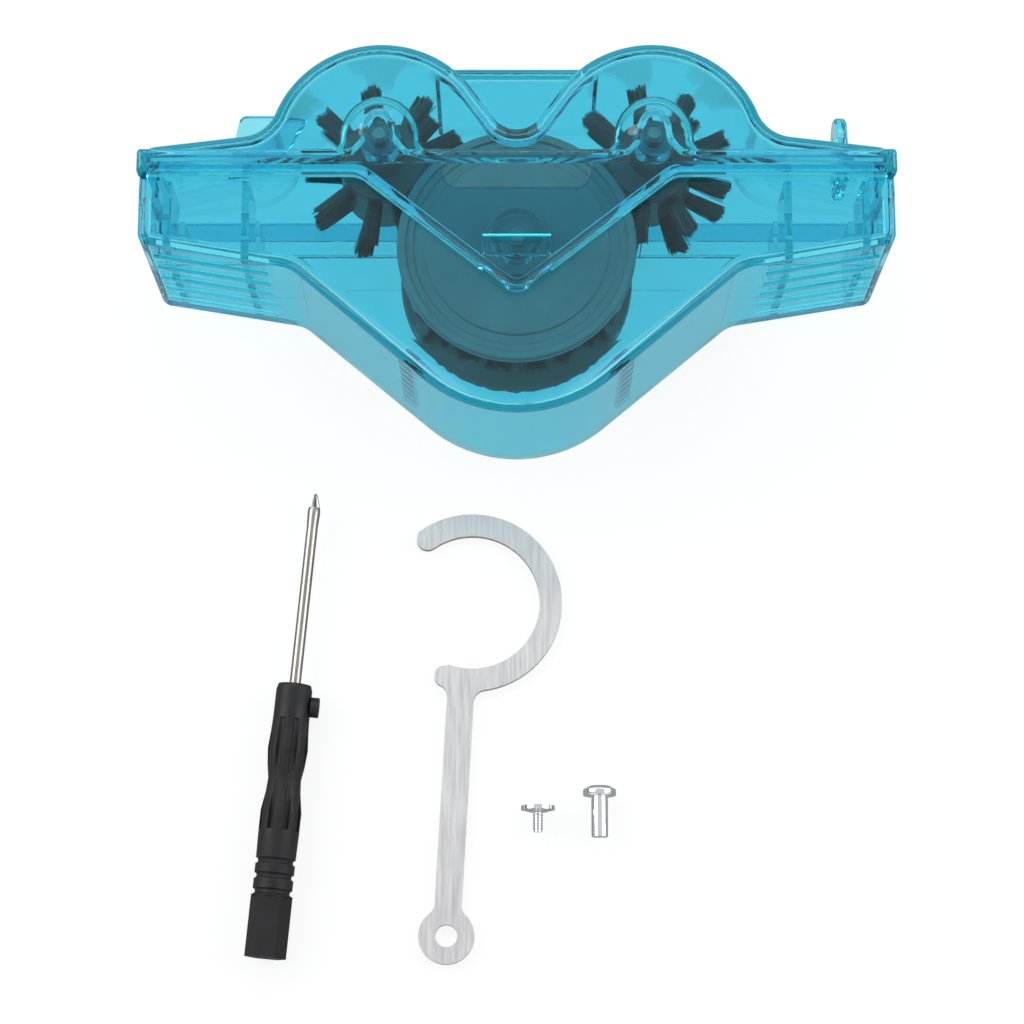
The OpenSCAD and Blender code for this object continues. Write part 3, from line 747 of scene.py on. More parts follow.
@dataclass
class Tank:
    """The lower tank: a V-shaped trough with wings, baffles, chain notches and finger ribs."""

    shoulder: float = 54.5
    rim_h: float = 58.7
    rim_half_w: float = 85.2
    rim_back: float = 2.7
    bottom_r: float = 33.0
    leg_angle: float = 40.0
    knee_x: float = 52.0
    knee_r: float = 8.0
    wing_rise: float = 5.9
    end_r: float = 3.0
    baffles: tuple[float, float] = (62.7, 80.8)
    baffle_t: float = 1.8
    boss_r: float = 6.2
    axle_bore: float = 2.05
    axle_end: float = 48.6
    notch_half: float = 6.0
    notch_low: float = 45.0
    fillet_bottom: float = 5.5
    fillet_wing: float = 2.2
    fillet_x: float = 40.0
    fillet_run: float = 16.0
    top: float = 75.0
    back_r: float = 1.0
    hollow_r: float = 0.8
    rim_r: float = 0.5
    rim_overlap: float = 4.0
    dip_lean: float = 2.2
    dip_r: float = 3.5
    dips: tuple[Triple, ...] = ((0, 18.5, 52.3), (60.6, 15.2, 56.0), (-60.6, 15.2, 56.0))
    grips: int = 5
    grip_pitch: float = 8.0
    grip_half: float = 0.8
    grip_reach: float = 27.0
    steps: int = 8
    step_x: float = 26.0
    step_pitch: float = 4.6
    step_half: float = 1.15
    catch_half: Point = (7.2, 1.65)
    catch_out: float = 2.4

    @property
    def apex_h(self) -> float:
        """Height of the corner that the bottom's arc rounds."""
        return self.bottom_r - self.bottom_r / math.cos(math.radians(self.leg_angle))

    @property
    def knee_h(self) -> float:
        """Height of the bend between leg and wing."""
        return self.apex_h + self.knee_x * math.tan(math.radians(self.leg_angle))

    def outline(self) -> list[Point]:
        """Returns the tank's outline, open far above its shoulder."""
        half = [Corner(self.knee_x, self.knee_h, self.knee_r),
                Corner(HALF_W, self.knee_h + self.wing_rise, self.end_r), Corner(HALF_W, self.top)]
        return cleaned(rounded([Corner(0, self.apex_h, self.bottom_r)] + half + mirrored(half), 2.5))

    def fillets(self, outline: list[Point]) -> list[float]:
        """Returns the front edge's radius at each point: full at the bottom, small along the wings."""
        radii = []
        for x, _ in outline:
            share = min(max((abs(x) - self.fillet_x) / self.fillet_run, 0), 1)
            share = share * share * (3 - 2 * share)
            radii.append(self.fillet_bottom + (self.fillet_wing - self.fillet_bottom) * share)
        return radii

    def shell(self) -> Solid:
        """Makes the trough with its rim, hollowed."""
        outline = self.outline()
        radii = self.fillets(outline)
        outer = lofted(outline, 0, DEPTH, radii, self.back_r).keep(between(FAR_BELOW, self.shoulder))
        outer.add(block((-self.rim_half_w, self.shoulder - self.rim_overlap, self.rim_back),
                        (self.rim_half_w, self.rim_h, DEPTH), self.rim_r))
        inner_radii = [max(r - WALL, self.hollow_r) for r in radii]
        hollow = lofted(inset_all(outline, WALL), WALL, DEPTH - WALL, inner_radii, self.back_r)
        hollow.keep(between(FAR_BELOW, self.shoulder - self.rim_overlap))
        outer.cut(hollow)
        return outer.cut(block((WALL - self.rim_half_w, self.shoulder - 5, self.rim_back + WALL),
                               (self.rim_half_w - WALL, self.rim_h + 5, DEPTH - WALL)))

    def baffle(self, x: float) -> Solid:
        """Makes one baffle across a wing.

        Args:
            x: Where it stands.

        Returns:
            The baffle.
        """
        core = lofted(inset_all(self.outline(), WALL / 2), WALL / 2, DEPTH - WALL / 2, 1.0)
        sheet = block((x - self.baffle_t / 2, 20, 0), (x + self.baffle_t / 2, self.shoulder, DEPTH), 0.2)
        return sheet.keep(core)

    def notch(self) -> Solid:
        """Makes the slot that the chain passes, through a wing's baffles and end."""
        half = self.notch_half
        section = rounded([Corner(-half, 0, half), Corner(half, 0, half), Corner(half, 30), Corner(-half, 30)], 8)
        start = self.baffles[0] - 4
        rings = [[Vector((x, self.notch_low + q, MIDDLE_Z + p)) for p, q in section] for x in (start, HALF_W + 3)]
        return stacked(rings)

    def dip(self, x: float, half: float, low: float) -> Solid:
        """Makes the cutter of a dip in the front rim.

        Args:
            x: Its middle.
            half: Half its width.
            low: Its lowest height.

        Returns:
            The cutter.
        """
        side = [Corner(half - self.dip_lean, low, self.dip_r), Corner(half, self.rim_h + 3)]
        section = rounded(side + mirrored(side), 10)
        return stacked([[Vector((x + p, q, z)) for p, q in section] for z in (MIDDLE_Z, DEPTH + 2)])

    def ribs(self) -> list[Solid]:
        """Makes the finger ribs under one wing."""
        slope = math.atan(self.wing_rise / (HALF_W - self.knee_x))
        end_h = self.knee_h + self.wing_rise - self.end_r * math.tan(slope)
        place = Matrix.Translation((HALF_W - self.end_r, end_h, 0)) @ Matrix.Rotation(slope, 4, "Z")
        ribs = []
        for i in range(self.grips):
            z = MIDDLE_Z + (i - (self.grips - 1) / 2) * self.grip_pitch
            low, high = (-self.grip_reach, -0.7, z - self.grip_half), (0, 1.2, z + self.grip_half)
            ribs.append(moved(block(low, high, 0.3), place))
        return ribs

    def ladder(self) -> list[Solid]:
        """Makes the row of steps inside one leg."""
        slope = math.radians(self.leg_angle)
        place = Matrix.Translation((self.step_x, self.apex_h + self.step_x * math.tan(slope), 0))
        row = []
        for i in range(self.steps):
            z = MIDDLE_Z + (i - (self.steps - 1) / 2) * self.step_pitch
            low, high = (-2, WALL / 2, z - self.step_half), (2, WALL + 1.2, z + self.step_half)
            row.append(moved(block(low, high, 0.2), place @ Matrix.Rotation(slope, 4, "Z")))
        return row

    def build(self) -> Object:
        """Makes the tank's object."""
        tank = self.shell()
        tank.add(pin(0, AXLE_H, self.boss_r, WALL / 2, BOSS_BACK, 0.3),
                 pin(0, AXLE_H, self.boss_r, BOSS_FRONT, DEPTH - WALL / 2, 0.3))
        wide, tall = self.catch_half
        tank.add(block((-wide, CATCH_H - tall, DEPTH - 1.2), (wide, CATCH_H + tall, DEPTH + self.catch_out), 0.5))
        for x in self.baffles:
            tank.add(self.baffle(x), self.baffle(-x))
        for part in self.ribs() + self.ladder():
            tank.add(part.mirror(), part)
        notch = self.notch()
        tank.cut(notch.mirror(), notch)
        tank.cut(*[self.dip(*dip) for dip in self.dips])
        tank.cut(pin(0, AXLE_H, self.axle_bore, -1, self.axle_end))
        return tank.piece("tank_shell")


@dataclass
class Cover:
    """The upper cover: two lobes round the brushes, a web, a V notch, a skirt and its tongue."""

    low: float = 54.8
    lobe_x: float = 31.6
    lobe_h: float = 62.0
    lobe_r: float = 26.4
    web_h: float = 84.7
    web_front: float = 43.5
    wing_end_h: float = 62.7
    wing_slope: float = 7.0
    wing_r: float = 4.0
    blend_r: float = 9.0
    vee_slope: float = 55.0
    vee_r: float = 6.2
    fillet: float = 2.8
    skirt_z: float = 55.0
    skirt_wall: float = 2.0
    ledge_h: float = 60.4
    tongue_half: float = 36.5
    tongue_slope: float = 38.5
    tongue_r: float = 5.0
    tongue_bend: float = 5.0
    skirt_back: float = 50.3
    pin_boss_r: float = 4.5
    pin_bore: float = 1.55
    pin_end: float = 53.4
    under: float = 40.0
    seam: float = 0.05
    bell_half: Point = (9.3, 3.5)
    bell_flare: Point = (12.7, 7.1)
    bell_rise: Point = (10.3, 5.0)
    bell_foot: float = 59.0
    hump_rows: tuple[Point, ...] = ((49.0, 0.0), (50.0, 0.02), (51.2, 0.16), (52.4, 0.36), (53.5, 0.6), (54.3, 0.79),
                                    (54.75, 0.9), (54.97, 0.99))
    hump_wall: float = 1.5
    window_half: Point = (7.8, 2.25)
    ear_half: float = 6.75
    ear_top: float = 78.25
    ear_faces: Point = (76.2, 79.0)
    ear_h: float = 71.5
    ear_bore: float = 2.1
    inside: float = 85.5

    def outline(self) -> list[Point]:
        """Returns the front's outline with the V notch, open far below the skirt."""
        slope = math.radians(self.wing_slope)
        # The blend's circle touches the wing's line from above and the lobe from outside
        line_h = self.wing_end_h + HALF_W * math.tan(slope)
        reach = self.lobe_r + self.blend_r
        up = self.blend_r / math.cos(slope)
        a = 1 + math.tan(slope) ** 2
        base = line_h + up - self.lobe_h
        b = -2 * self.lobe_x - 2 * base * math.tan(slope)
        c = self.lobe_x ** 2 + base ** 2 - reach ** 2
        blend_x = (-b + math.sqrt(b * b - 4 * a * c)) / (2 * a)
        blend_h = line_h + up - blend_x * math.tan(slope)
        meet = math.degrees(math.atan2(blend_h - self.lobe_h, blend_x - self.lobe_x))
        vee = math.radians(self.vee_slope)
        apex_h = (self.lobe_h + self.lobe_r * math.cos(vee)
                  - (self.lobe_x - self.lobe_r * math.sin(vee)) * math.tan(vee))
        half: list[Point] = [(HALF_W, self.under)]
        half += rounded([Corner(HALF_W, self.under - 10), Corner(HALF_W, self.wing_end_h, self.wing_r),
                         Corner(blend_x, line_h - blend_x * math.tan(slope))], 6)[1:-1]
        half += arc(blend_x, blend_h, self.blend_r, -90 - self.wing_slope, meet - 180, 6)
        half += arc(self.lobe_x, self.lobe_h, self.lobe_r, meet, 180 - (90 - self.vee_slope), 2.5)
        tip_h = apex_h + self.vee_r / math.cos(vee)
        half += arc(0, tip_h, self.vee_r, -(90 - self.vee_slope), -90, 8)[:-1]
        whole = half + [(0, tip_h - self.vee_r)] + [(-x, h) for x, h in reversed(half)]
        return cleaned(whole)

    def web(self, wall: float, edge: float) -> Solid:
        """Makes the block behind the V notch, or its hollow.

        Args:
            wall: How far it is drawn in.
            edge: The radius of its front edge.

        Returns:
            The block.
        """
        low, high = wall, self.web_front - wall
        section = rounded([Corner(low, 30), Corner(high, 30), Corner(high, self.web_h - wall, edge),
                           Corner(low, self.web_h - wall, min(edge, 1.0))], 8)
        half = self.lobe_x - wall
        return stacked([[Vector((x, h, z)) for z, h in section] for x in (-half, half)])

    def plate_outline(self, wall: float = 0.0) -> list[Point]:
        """Returns the outline of the skirt's front with its tongue, drawn in by a wall."""
        slope = math.radians(self.tongue_slope)
        apex = self.low - self.tongue_half * math.tan(slope) + wall / math.cos(slope)
        low, high, side = self.low + wall, self.ledge_h - wall, HALF_W - wall
        half = [Corner((low - apex) / math.tan(slope), low, self.tongue_bend + wall),
                Corner(side, low, max(0.6 - wall, 0.0)), Corner(side, high, max(1.0 - wall, 0.0))]
        return cleaned(rounded([Corner(0, apex, self.tongue_r - wall)] + half + mirrored(half), 4))

    def skirt(self) -> Solid:
        """Makes the skirt's band through the depth, just inside its front plate."""
        side, low, high = HALF_W - self.seam, self.low + self.seam, self.ledge_h - self.seam
        return block((-side, low, 0), (side, high, 52.5), 0.8)

    def bell(self, share: float, wall: float) -> list[Point]:
        """Returns a bell outline about a pin.

        Args:
            share: 0 at the lobe's face, 1 at the housing's front.
            wall: How far the outline is drawn in.

        Returns:
            The outline's points.
        """
        half, flare, rise = (a + (b - a) * share - wall for a, b in (self.bell_half, self.bell_flare, self.bell_rise))
        foot = self.bell_foot - BRUSH_H
        quarter = [math.pi / 2 * k / 8 for k in range(9)]
        side = [(flare - (flare - half) * math.sin(a), foot * (1 - a / (math.pi / 2))) for a in quarter]
        arch = [(half * math.cos(math.pi * k / 20), rise * math.sin(math.pi * k / 20)) for k in range(1, 20)]
        return side + arch + [(-x, h) for x, h in reversed(side)]

    def hump(self, x: float, wall: float = 0.0) -> Solid:
        """Makes the bell-shaped housing on a lobe's front that covers a brush's pin, or its hollow.

        Args:
            x: The pin's place across.
            wall: How far it is drawn in.

        Returns:
            The housing.
        """
        return stacked([[Vector((x + p, BRUSH_H + q, z - wall)) for p, q in self.bell(share, wall)]
                        for z, share in self.hump_rows])

    def ear(self) -> Solid:
        """Makes the ear for the hanger at the cover's end."""
        half = [Corner(self.ear_half, 60), Corner(self.ear_half, self.ear_top, self.ear_half - 0.05)]
        face = rounded(half + mirrored(half), 6)
        small = inset_all(face, 0.5)
        near, far = self.ear_faces
        return stacked([[Vector((x, h, MIDDLE_Z + z)) for z, h in ring] for x, ring in
                        ((near, small), (near + 0.5, face), (far - 0.5, face), (far, small))])

    def build(self) -> Object:
        """Makes the cover's object."""
        outline = self.outline()
        cover = lofted(outline, 0, DEPTH, self.fillet, 1.0)
        cover.add(self.web(0, 2.5))
        cover.keep(between(self.low, FAR_ABOVE))
        cover.add(lofted(self.plate_outline(), self.skirt_back, self.skirt_z, 1.5), self.skirt())
        tab = rounded([Corner(-70.3, 60), Corner(-50, 60), Corner(-50, 79, 1.5), Corner(-66.5, 79, 2)], 6)
        cover.add(lofted(tab, 23.6, 26.4, 0.4, 0.4))
        hollow = lofted(inset_all(outline, WALL), WALL, DEPTH - WALL, 1.2, 1.0)
        hollow.add(self.web(WALL, 1.0))
        cover.cut(hollow)
        cover.cut(block((-self.inside, 50, WALL), (self.inside, 59.0, self.skirt_back)))
        cover.cut(block((-self.inside, 56.8, WALL), (self.inside, 59.0, 53.0)))
        cover.cut(lofted(self.plate_outline(self.skirt_wall), 49.3, 53.0, 0.6))
        cover.add(self.ear())
        for side in (-1, 1):
            x = side * BRUSH_X
            cover.add(self.hump(x)).cut(self.hump(x, self.hump_wall))
            cover.add(pin(x, BRUSH_H, self.pin_boss_r, 1.2, BOSS_BACK, 0.3),
                      pin(x, BRUSH_H, self.pin_boss_r, BOSS_FRONT, 49.5, 0.3),
                      pin(x, BRUSH_H, 2.6, 49, 54.2, 0.3))
        wide, tall = self.window_half
        cover.cut(block((-wide, CATCH_H - tall, self.skirt_back), (wide, CATCH_H + tall, 57)))
        cover.cut(block((-wide, 28, DEPTH), (wide, CATCH_H, 52.7)))
        for side in (-1, 1):
            cover.cut(pin(side * BRUSH_X, BRUSH_H, self.pin_bore, -1, self.pin_end))
        cover.cut(block((84.2, 50, 19), (90, 57.5, 31)), block((-90, 50, 19), (-84.2, 57.5, 31)))
        at = Matrix.Translation((sum(self.ear_faces) / 2, self.ear_h, MIDDLE_Z))
        bore = moved(turned([(self.ear_bore, -5), (self.ear_bore, 5)], 48), at @ Matrix.Rotation(math.pi / 2, 4, "Y"))
        cover.cut(bore)
        return cover.piece("cover_shell")


# --- Bristles -----------------------------------------------------------------------------------


class StrandTree:
    """The Geometry Nodes tree that stands a tapered strand on every root point."""

    def __init__(self) -> None:
        """Makes the tree with named inputs and fills it."""
        self.tree = bpy.data.node_groups.new("strands", "GeometryNodeTree")
        self.socket("Roots", "Geometry")
        for name in ("Foot Width", "Tip Width", "Bend"):
            self.socket(name, "Float")
        self.socket("Seed", "Int")
        self.socket("Finish", "Material")
        self.socket("Strands", "Geometry", "OUTPUT")
        self.fill(Graph(self.tree))

    def socket(self, name: str, kind: str, way: str = "INPUT") -> None:
        """Adds a socket to the tree's interface."""
        self.tree.interface.new_socket(name, in_out=way, socket_type=f"NodeSocket{kind}")

    def fill(self, graph: Graph) -> None:
        """Stands a cone on every root, turns it to its aim, stretches it to its reach and bends it.

        Args:
            graph: The tree to fill.
        """
        given = graph.add("NodeGroupInput").outputs
        strand = graph.add("GeometryNodeMeshCone", {
            "Vertices": 4, "Side Segments": 3, "Depth": 1.0, "Radius Bottom": given["Foot Width"],
            "Radius Top": given["Tip Width"]})
        split = graph.add("ShaderNodeSeparateXYZ", {0: graph.add("GeometryNodeInputPosition").outputs[0]})
        kept = graph.add("GeometryNodeCaptureAttribute")
        kept.capture_items.new("FLOAT", "Rise")
        graph.fill(kept, {"Geometry": strand.outputs["Mesh"], "Rise": split.outputs["Z"]})
        aim, reach = (graph.add("GeometryNodeInputNamedAttribute", {"Name": name}, data_type=kind).outputs["Attribute"]
                      for name, kind in (("aim", "FLOAT_VECTOR"), ("reach", "FLOAT")))
        turn = graph.add("FunctionNodeAlignRotationToVector", {"Vector": aim}, axis="Z")
        size = graph.add("ShaderNodeCombineXYZ", {"X": 1.0, "Y": 1.0, "Z": reach})
        stand = graph.add("GeometryNodeInstanceOnPoints", {
            "Points": given["Roots"], "Instance": kept.outputs["Geometry"], "Rotation": turn.outputs["Rotation"],
            "Scale": size.outputs["Vector"]})
        real = graph.add("GeometryNodeRealizeInstances", {"Geometry": stand.outputs["Instances"]})
        wave = graph.add("ShaderNodeTexNoise", {"Scale": 420.0, "Detail": 1.0, "W": given["Seed"]},
                         noise_dimensions="4D")
        centre = graph.add("ShaderNodeVectorMath", {0: wave.outputs["Color"], 1: (0.5, 0.5, 0.5)}, operation="SUBTRACT")
        square = graph.calc("MULTIPLY", kept.outputs["Rise"], kept.outputs["Rise"])
        amount = graph.calc("MULTIPLY", square, given["Bend"])
        shift = graph.add("ShaderNodeVectorMath", {0: centre.outputs[0], "Scale": amount}, operation="SCALE")
        move = graph.add("GeometryNodeSetPosition", {"Geometry": real.outputs["Geometry"], "Offset": shift.outputs[0]})
        moved_on = move.outputs["Geometry"]
        paint = graph.add("GeometryNodeSetMaterial", {"Geometry": moved_on, "Material": given["Finish"]})
        graph.add("NodeGroupOutput", {"Strands": paint.outputs["Geometry"]})

    def grow(self, name: str, roots: list[Root], **values: object) -> Object:
        """Grows strands on roots and returns them as a plain mesh.

        Args:
            name: The piece's name.
            roots: For each strand its foot, its direction and its length, in metres.
            **values: The tree's other inputs, with _ for each space.

        Returns:
            The piece.
        """
        mesh = bpy.data.meshes.new(name)
        mesh.from_pydata([r[0] for r in roots], [], [])
        aim = mesh.attributes.new("aim", "FLOAT_VECTOR", "POINT")
        aim.data.foreach_set("vector", [c for r in roots for c in r[1]])
        reach = mesh.attributes.new("reach", "FLOAT", "POINT")
        reach.data.foreach_set("value", [r[2] for r in roots])
        obj = placed(name, mesh)
        mod = obj.modifiers.new("strands", "NODES")
        mod.node_group = self.tree
        for item in self.tree.interface.items_tree:
            key = item.name.replace(" ", "_")
            if key in values and item.in_out == "INPUT":
                mod[item.identifier] = values[key]
        obj.data = applied(obj, mod)
        obj.data.name = name
        smooth(obj.data, 60)
        return obj


class Workshop:
    """What all pieces share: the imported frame, the strands' tree and the finishes' materials."""

    def __init__(self, frame: dict) -> None:
        """Takes the loaded frame."""
        self.frame = frame
        self.strands = StrandTree()
        self.made: dict[str, Material] = {}

    def look(self, finish: Finish) -> Material:
        """Returns a finish's material, which is made once."""
        if finish.name not in self.made:
            self.made[finish.name] = finish.make()
        return self.made[finish.name]

    def dress(self, obj: Object, finish: Finish) -> Object:
        """Gives the object one finish on every face and returns it."""
        obj.data.materials.clear()
        obj.data.materials.append(self.look(finish))
        obj.data.polygons.foreach_set("material_index", [0] * len(obj.data.polygons))
        return obj

    def dress_node(self, node: str, finish: Finish) -> None:
        """Dresses a CAD node that is shown as it is."""
        self.dress(self.frame["nodes"][node], finish)

    def mount(self, obj: Object, finish: Finish | None, body: Body, slot: Slot, *nodes: str) -> None:
        """Dresses a piece, lets it ride on its body, hides the CAD nodes that it stands for, and logs it.

        Args:
            obj: The piece.
            finish: Its finish, or None if it has its own.
            body: The body it rides on.
            slot: Not used.
            *nodes: The CAD nodes that it stands for.
        """
        if finish:
            self.dress(obj, finish)
        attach(obj, body.value)
        if nodes:
            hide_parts(*nodes)
        LOG.info("%s: %d faces on %s", obj.name, len(obj.data.polygons), body.value)

    def refine(self, node: str, name: str, edge: float, finish: Finish, body: Body, slot: Slot) -> None:
        """Copies a CAD node into a piece with its sharp edges rounded, which stands for it.

        Args:
            node: The node's name.
            name: The new piece's name.
            edge: The radius of its edges in millimetres.
            finish: Its finish.
            body: The body it rides on.
            slot: The record's slot.
        """
        mesh = self.frame["nodes"][node].data.copy()
        mesh.name = name
        bm = bmesh.new()
        bm.from_mesh(mesh)
        bmesh.ops.remove_doubles(bm, verts=bm.verts, dist=0.000004)
        bmesh.ops.dissolve_limit(bm, angle_limit=math.radians(1.0), verts=bm.verts, edges=bm.edges)
        bm.to_mesh(mesh)
        bm.free()
        obj = placed(name, mesh)
        bevel = obj.modifiers.new("edges", "BEVEL")
        bevel.width = edge * MM
        bevel.segments = 3
        bevel.limit_method = "ANGLE"
        bevel.angle_limit = math.radians(40)
        obj.data = applied(obj, bevel)
        obj.data.name = name
        smooth(obj.data, SMOOTH_DEGREES)
        self.mount(evened(obj), finish, body, slot, node)


def cast(x: float, h: float, z: float) -> Vector:
    """Turns a point of the casing, in millimetres, into the frame's metres."""
    return Vector((x, h + CASING_Y, z)) * MM


@dataclass
class TuftRing:
    """A ring of tufts about an axle."""

    x: float
    h: float
    foot_r: float
    tip_r: float
    angles: list[float]
    z: float
    foot_spread: Point
    tip_spread: Point
    strands: int
    ragged: float = 0.12
    seed: int = SEED

    def roots(self) -> list[Root]:
        """Returns the foot, direction and length of every strand."""
        dice = random.Random(self.seed)
        found = []
        golden = math.pi * (3 - math.sqrt(5))
        for angle in self.angles:
            out = Vector((math.cos(math.radians(angle)), math.sin(math.radians(angle)), 0))
            across = Vector((-out.y, out.x, 0))
            swirl = dice.uniform(0, 6.28)
            lean = dice.uniform(-0.5, 0.5)
            for k in range(self.strands):
                share = math.sqrt((k + 0.5) / self.strands)
                a = k * golden + swirl
                u = share * math.cos(a) + dice.gauss(0, 0.05)
                v = share * math.sin(a) + dice.gauss(0, 0.05)
                foot = out * self.foot_r + across * u * self.foot_spread[0] + Vector((0, 0, v * self.foot_spread[1]))
                step = round(2 * math.sin(3.1 * u + swirl) + dice.uniform(-0.6, 0.6)) / 2
                length_share = 1 - self.ragged * (0.3 + 0.3 * step) - dice.uniform(0, 0.09)
                stray = 1.3 if dice.random() < 0.07 else 1.0
                tip = (out * self.tip_r + across * (u * stray * self.tip_spread[0] + lean)
                       + Vector((0, 0, v * stray * self.tip_spread[1])))
                aim = tip - foot
                start = cast(self.x + foot.x, self.h + foot.y, self.z + foot.z)
                found.append((start, aim.normalized(), aim.length * length_share * MM))
        return found


@dataclass
class Brush:
    """One upper brush: its drum and its two rows of tufts."""

    side: int
    body: Body
    name: str
    drum_r: float = 10.2
    drum_edge: float = 0.3
    tip_r: float = 20.0
    rows: Point = (19.5, 30.5)
    turns: Point = (0.35, 0.5)
    tufts: int = 9
    strands: int = 150
    collar_t: float = 1.45
    collar_half: float = 8.2

    def roots(self) -> list[Root]:
        """Returns the roots of both rows of tufts."""
        found = []
        for row, (z, turn) in enumerate(zip(self.rows, self.turns)):
            angles = [360 * (i + turn) / self.tufts for i in range(self.tufts)]
            ring = TuftRing(self.side * BRUSH_X, BRUSH_H, self.drum_r - ROOT_DEPTH, self.tip_r, angles, z, (1.7, 1.7),
                            (2.35, 2.1), self.strands, seed=SEED + row + 10 * self.side)
            found += ring.roots()
        return found

    def build(self, shop: Workshop) -> None:
        """Makes the brush's pieces and lets them ride on its body.

        Args:
            shop: What the pieces share.
        """
        shop.refine(f"{self.name}_drum", f"{self.name}_hub", self.drum_edge, BLACK, self.body, Slot.BLACK)
        tufts = shop.strands.grow(f"{self.name}_tufts", self.roots(), Foot_Width=0.00013, Tip_Width=0.000095,
                                  Bend=0.0012, Seed=SEED + self.side, Finish=shop.look(BRISTLE))
        outer = self.drum_r + 0.05
        band = collar(self.side * BRUSH_X, BRUSH_H, outer - self.collar_t, outer, self.collar_half)
        shop.mount(band.piece(f"{self.name}_band"), BRISTLE, self.body, Slot.BRISTLE)
        shop.mount(tufts, None, self.body, Slot.BRISTLE, f"{self.name}_bristles")
        for part in ("pin", "washers"):
            shop.dress_node(f"{self.name}_{part}", AXLE)


@dataclass
class Wheel:
    """The scrubbing wheel: two discs, a core and a ring of tufts between them."""

    core_r: float = 10.0
    tip_r: float = 27.0
    tufts: int = 20
    strands: int = 160
    lugs: int = 3
    lug_x: float = 26.15
    lug_r: float = 1.8
    axle_r: float = 2.0

    def disc(self, side: int) -> Solid:
        """Makes one disc with its hub, stepped rings and lugs.

        Args:
            side: 1 in front of the middle and -1 behind it.

        Returns:
            The disc.
        """
        solid = turned([(1.9, 13.0), (27.5, 13.0), (28.0, 13.5), (28.0, 15.1), (27.5, 15.6), (26.1, 15.6),
                        (25.7, 15.0), (24.3, 15.0), (23.9, 14.6), (21.9, 14.6), (21.5, 15.0), (8.3, 15.0),
                        (8.0, 15.3), (8.0, 16.6), (7.6, 16.8), (1.9, 16.8)], 120)
        for k in range(self.lugs):
            a = math.radians(90 + 360 / self.lugs * k)
            solid.add(pin(self.lug_x * math.cos(a), self.lug_x * math.sin(a), self.lug_r, 9.0, 14.0, 0.3, 32))
        solid.cut(pin(0, 0, self.axle_r, 5, 20))
        moved(solid, Matrix.Translation((0, AXLE_H, MIDDLE_Z)) @ Matrix.Scale(side, 4, (0, 0, 1)))
        if side < 0:
            solid.obj.data.flip_normals()
        return solid

    def build(self, shop: Workshop) -> None:
        """Makes the wheel's pieces and lets them ride on its body.

        Args:
            shop: What the pieces share.
        """
        for end, side in (("front", 1), ("rear", -1)):
            shop.mount(self.disc(side).piece(f"wheel_{end}_plate"), DISC, Body.WHEEL, Slot.GREY, f"wheel_{end}_disc")
        shop.dress_node("wheel_core", BLACK)
        angles = [90 + 360 * (i + 0.5) / self.tufts for i in range(self.tufts)]
        ring = TuftRing(0, AXLE_H, self.core_r - ROOT_DEPTH, self.tip_r, angles, MIDDLE_Z, (1.3, 1.5), (2.9, 2.3),
                        self.strands)
        tufts = shop.strands.grow("wheel_tufts", ring.roots(), Foot_Width=0.00014, Tip_Width=0.0001, Bend=0.0012,
                                  Seed=SEED, Finish=shop.look(BRISTLE))
        band = collar(0, AXLE_H, 8.4, 10.05, 3.6)
        shop.mount(band.piece("wheel_band"), BRISTLE, Body.WHEEL, Slot.BRISTLE)
        shop.mount(tufts, None, Body.WHEEL, Slot.BRISTLE, "wheel_bristles")
        for part in ("axle", "washers"):
            shop.dress_node(f"wheel_{part}", AXLE)


# --- The hanger kit -----------------------------------------------------------------------------


@dataclass
class Kit:
    """The loose pieces: hook, barrel nut, screw and screwdriver."""

    driver_at: Triple = (-52.67, -39.6, 4.9)
    driver_turn: float = -5.24
    flutes: int = 4
    flute_turn: float = 0.35

    def shaft(self) -> Solid:
        """Makes the driver's blade with its crossed point."""
        shaft = turned([(0, -46.8), (0.25, -46.8), (0.5, -46.4), (1.35, -43.4), (1.5, -42.6), (1.5, -41.6),
                        (1.35, -38.6), (1.35, 17.8), (1.15, 18), (0, 18)], 48)
        for k in range(self.flutes):
            flute = block((0.26, 0.26, -48), (3, 3, -43.4))
            shaft.cut(moved(flute, Matrix.Rotation(math.pi / 2 * k + self.flute_turn, 4, "Z")))
        return moved(shaft, Matrix.Translation(self.driver_at)
                     @ Matrix.Rotation(math.radians(self.driver_turn), 4, "Z") @ Matrix.Rotation(math.pi / 2, 4, "X"))

    def build(self, shop: Workshop) -> None:
        """Makes or dresses the loose pieces.

        Args:
            shop: What the pieces share.
        """
        shop.refine("hanger_hook", "hook_strip", 0.3, SATIN, Body.CLEANER, Slot.STEEL)
        shop.refine("barrel_nut", "nut_barrel", 0.2, PLATED, Body.CLEANER, Slot.CHROME)
        shop.dress_node("hanger_screw", PLATED)
        blade = self.shaft().piece("driver_blade", offset=(0, 0))
        shop.mount(blade, BLADE, Body.CLEANER, Slot.STEEL, "screwdriver_blade")
        shop.refine("screwdriver_handle", "driver_handle", 0.25, HANDLE, Body.CLEANER, Slot.BLACK)
        shop.dress_node("screwdriver_knob", HANDLE)


# --- Light, floor and camera ---------------------------------------------------------------------


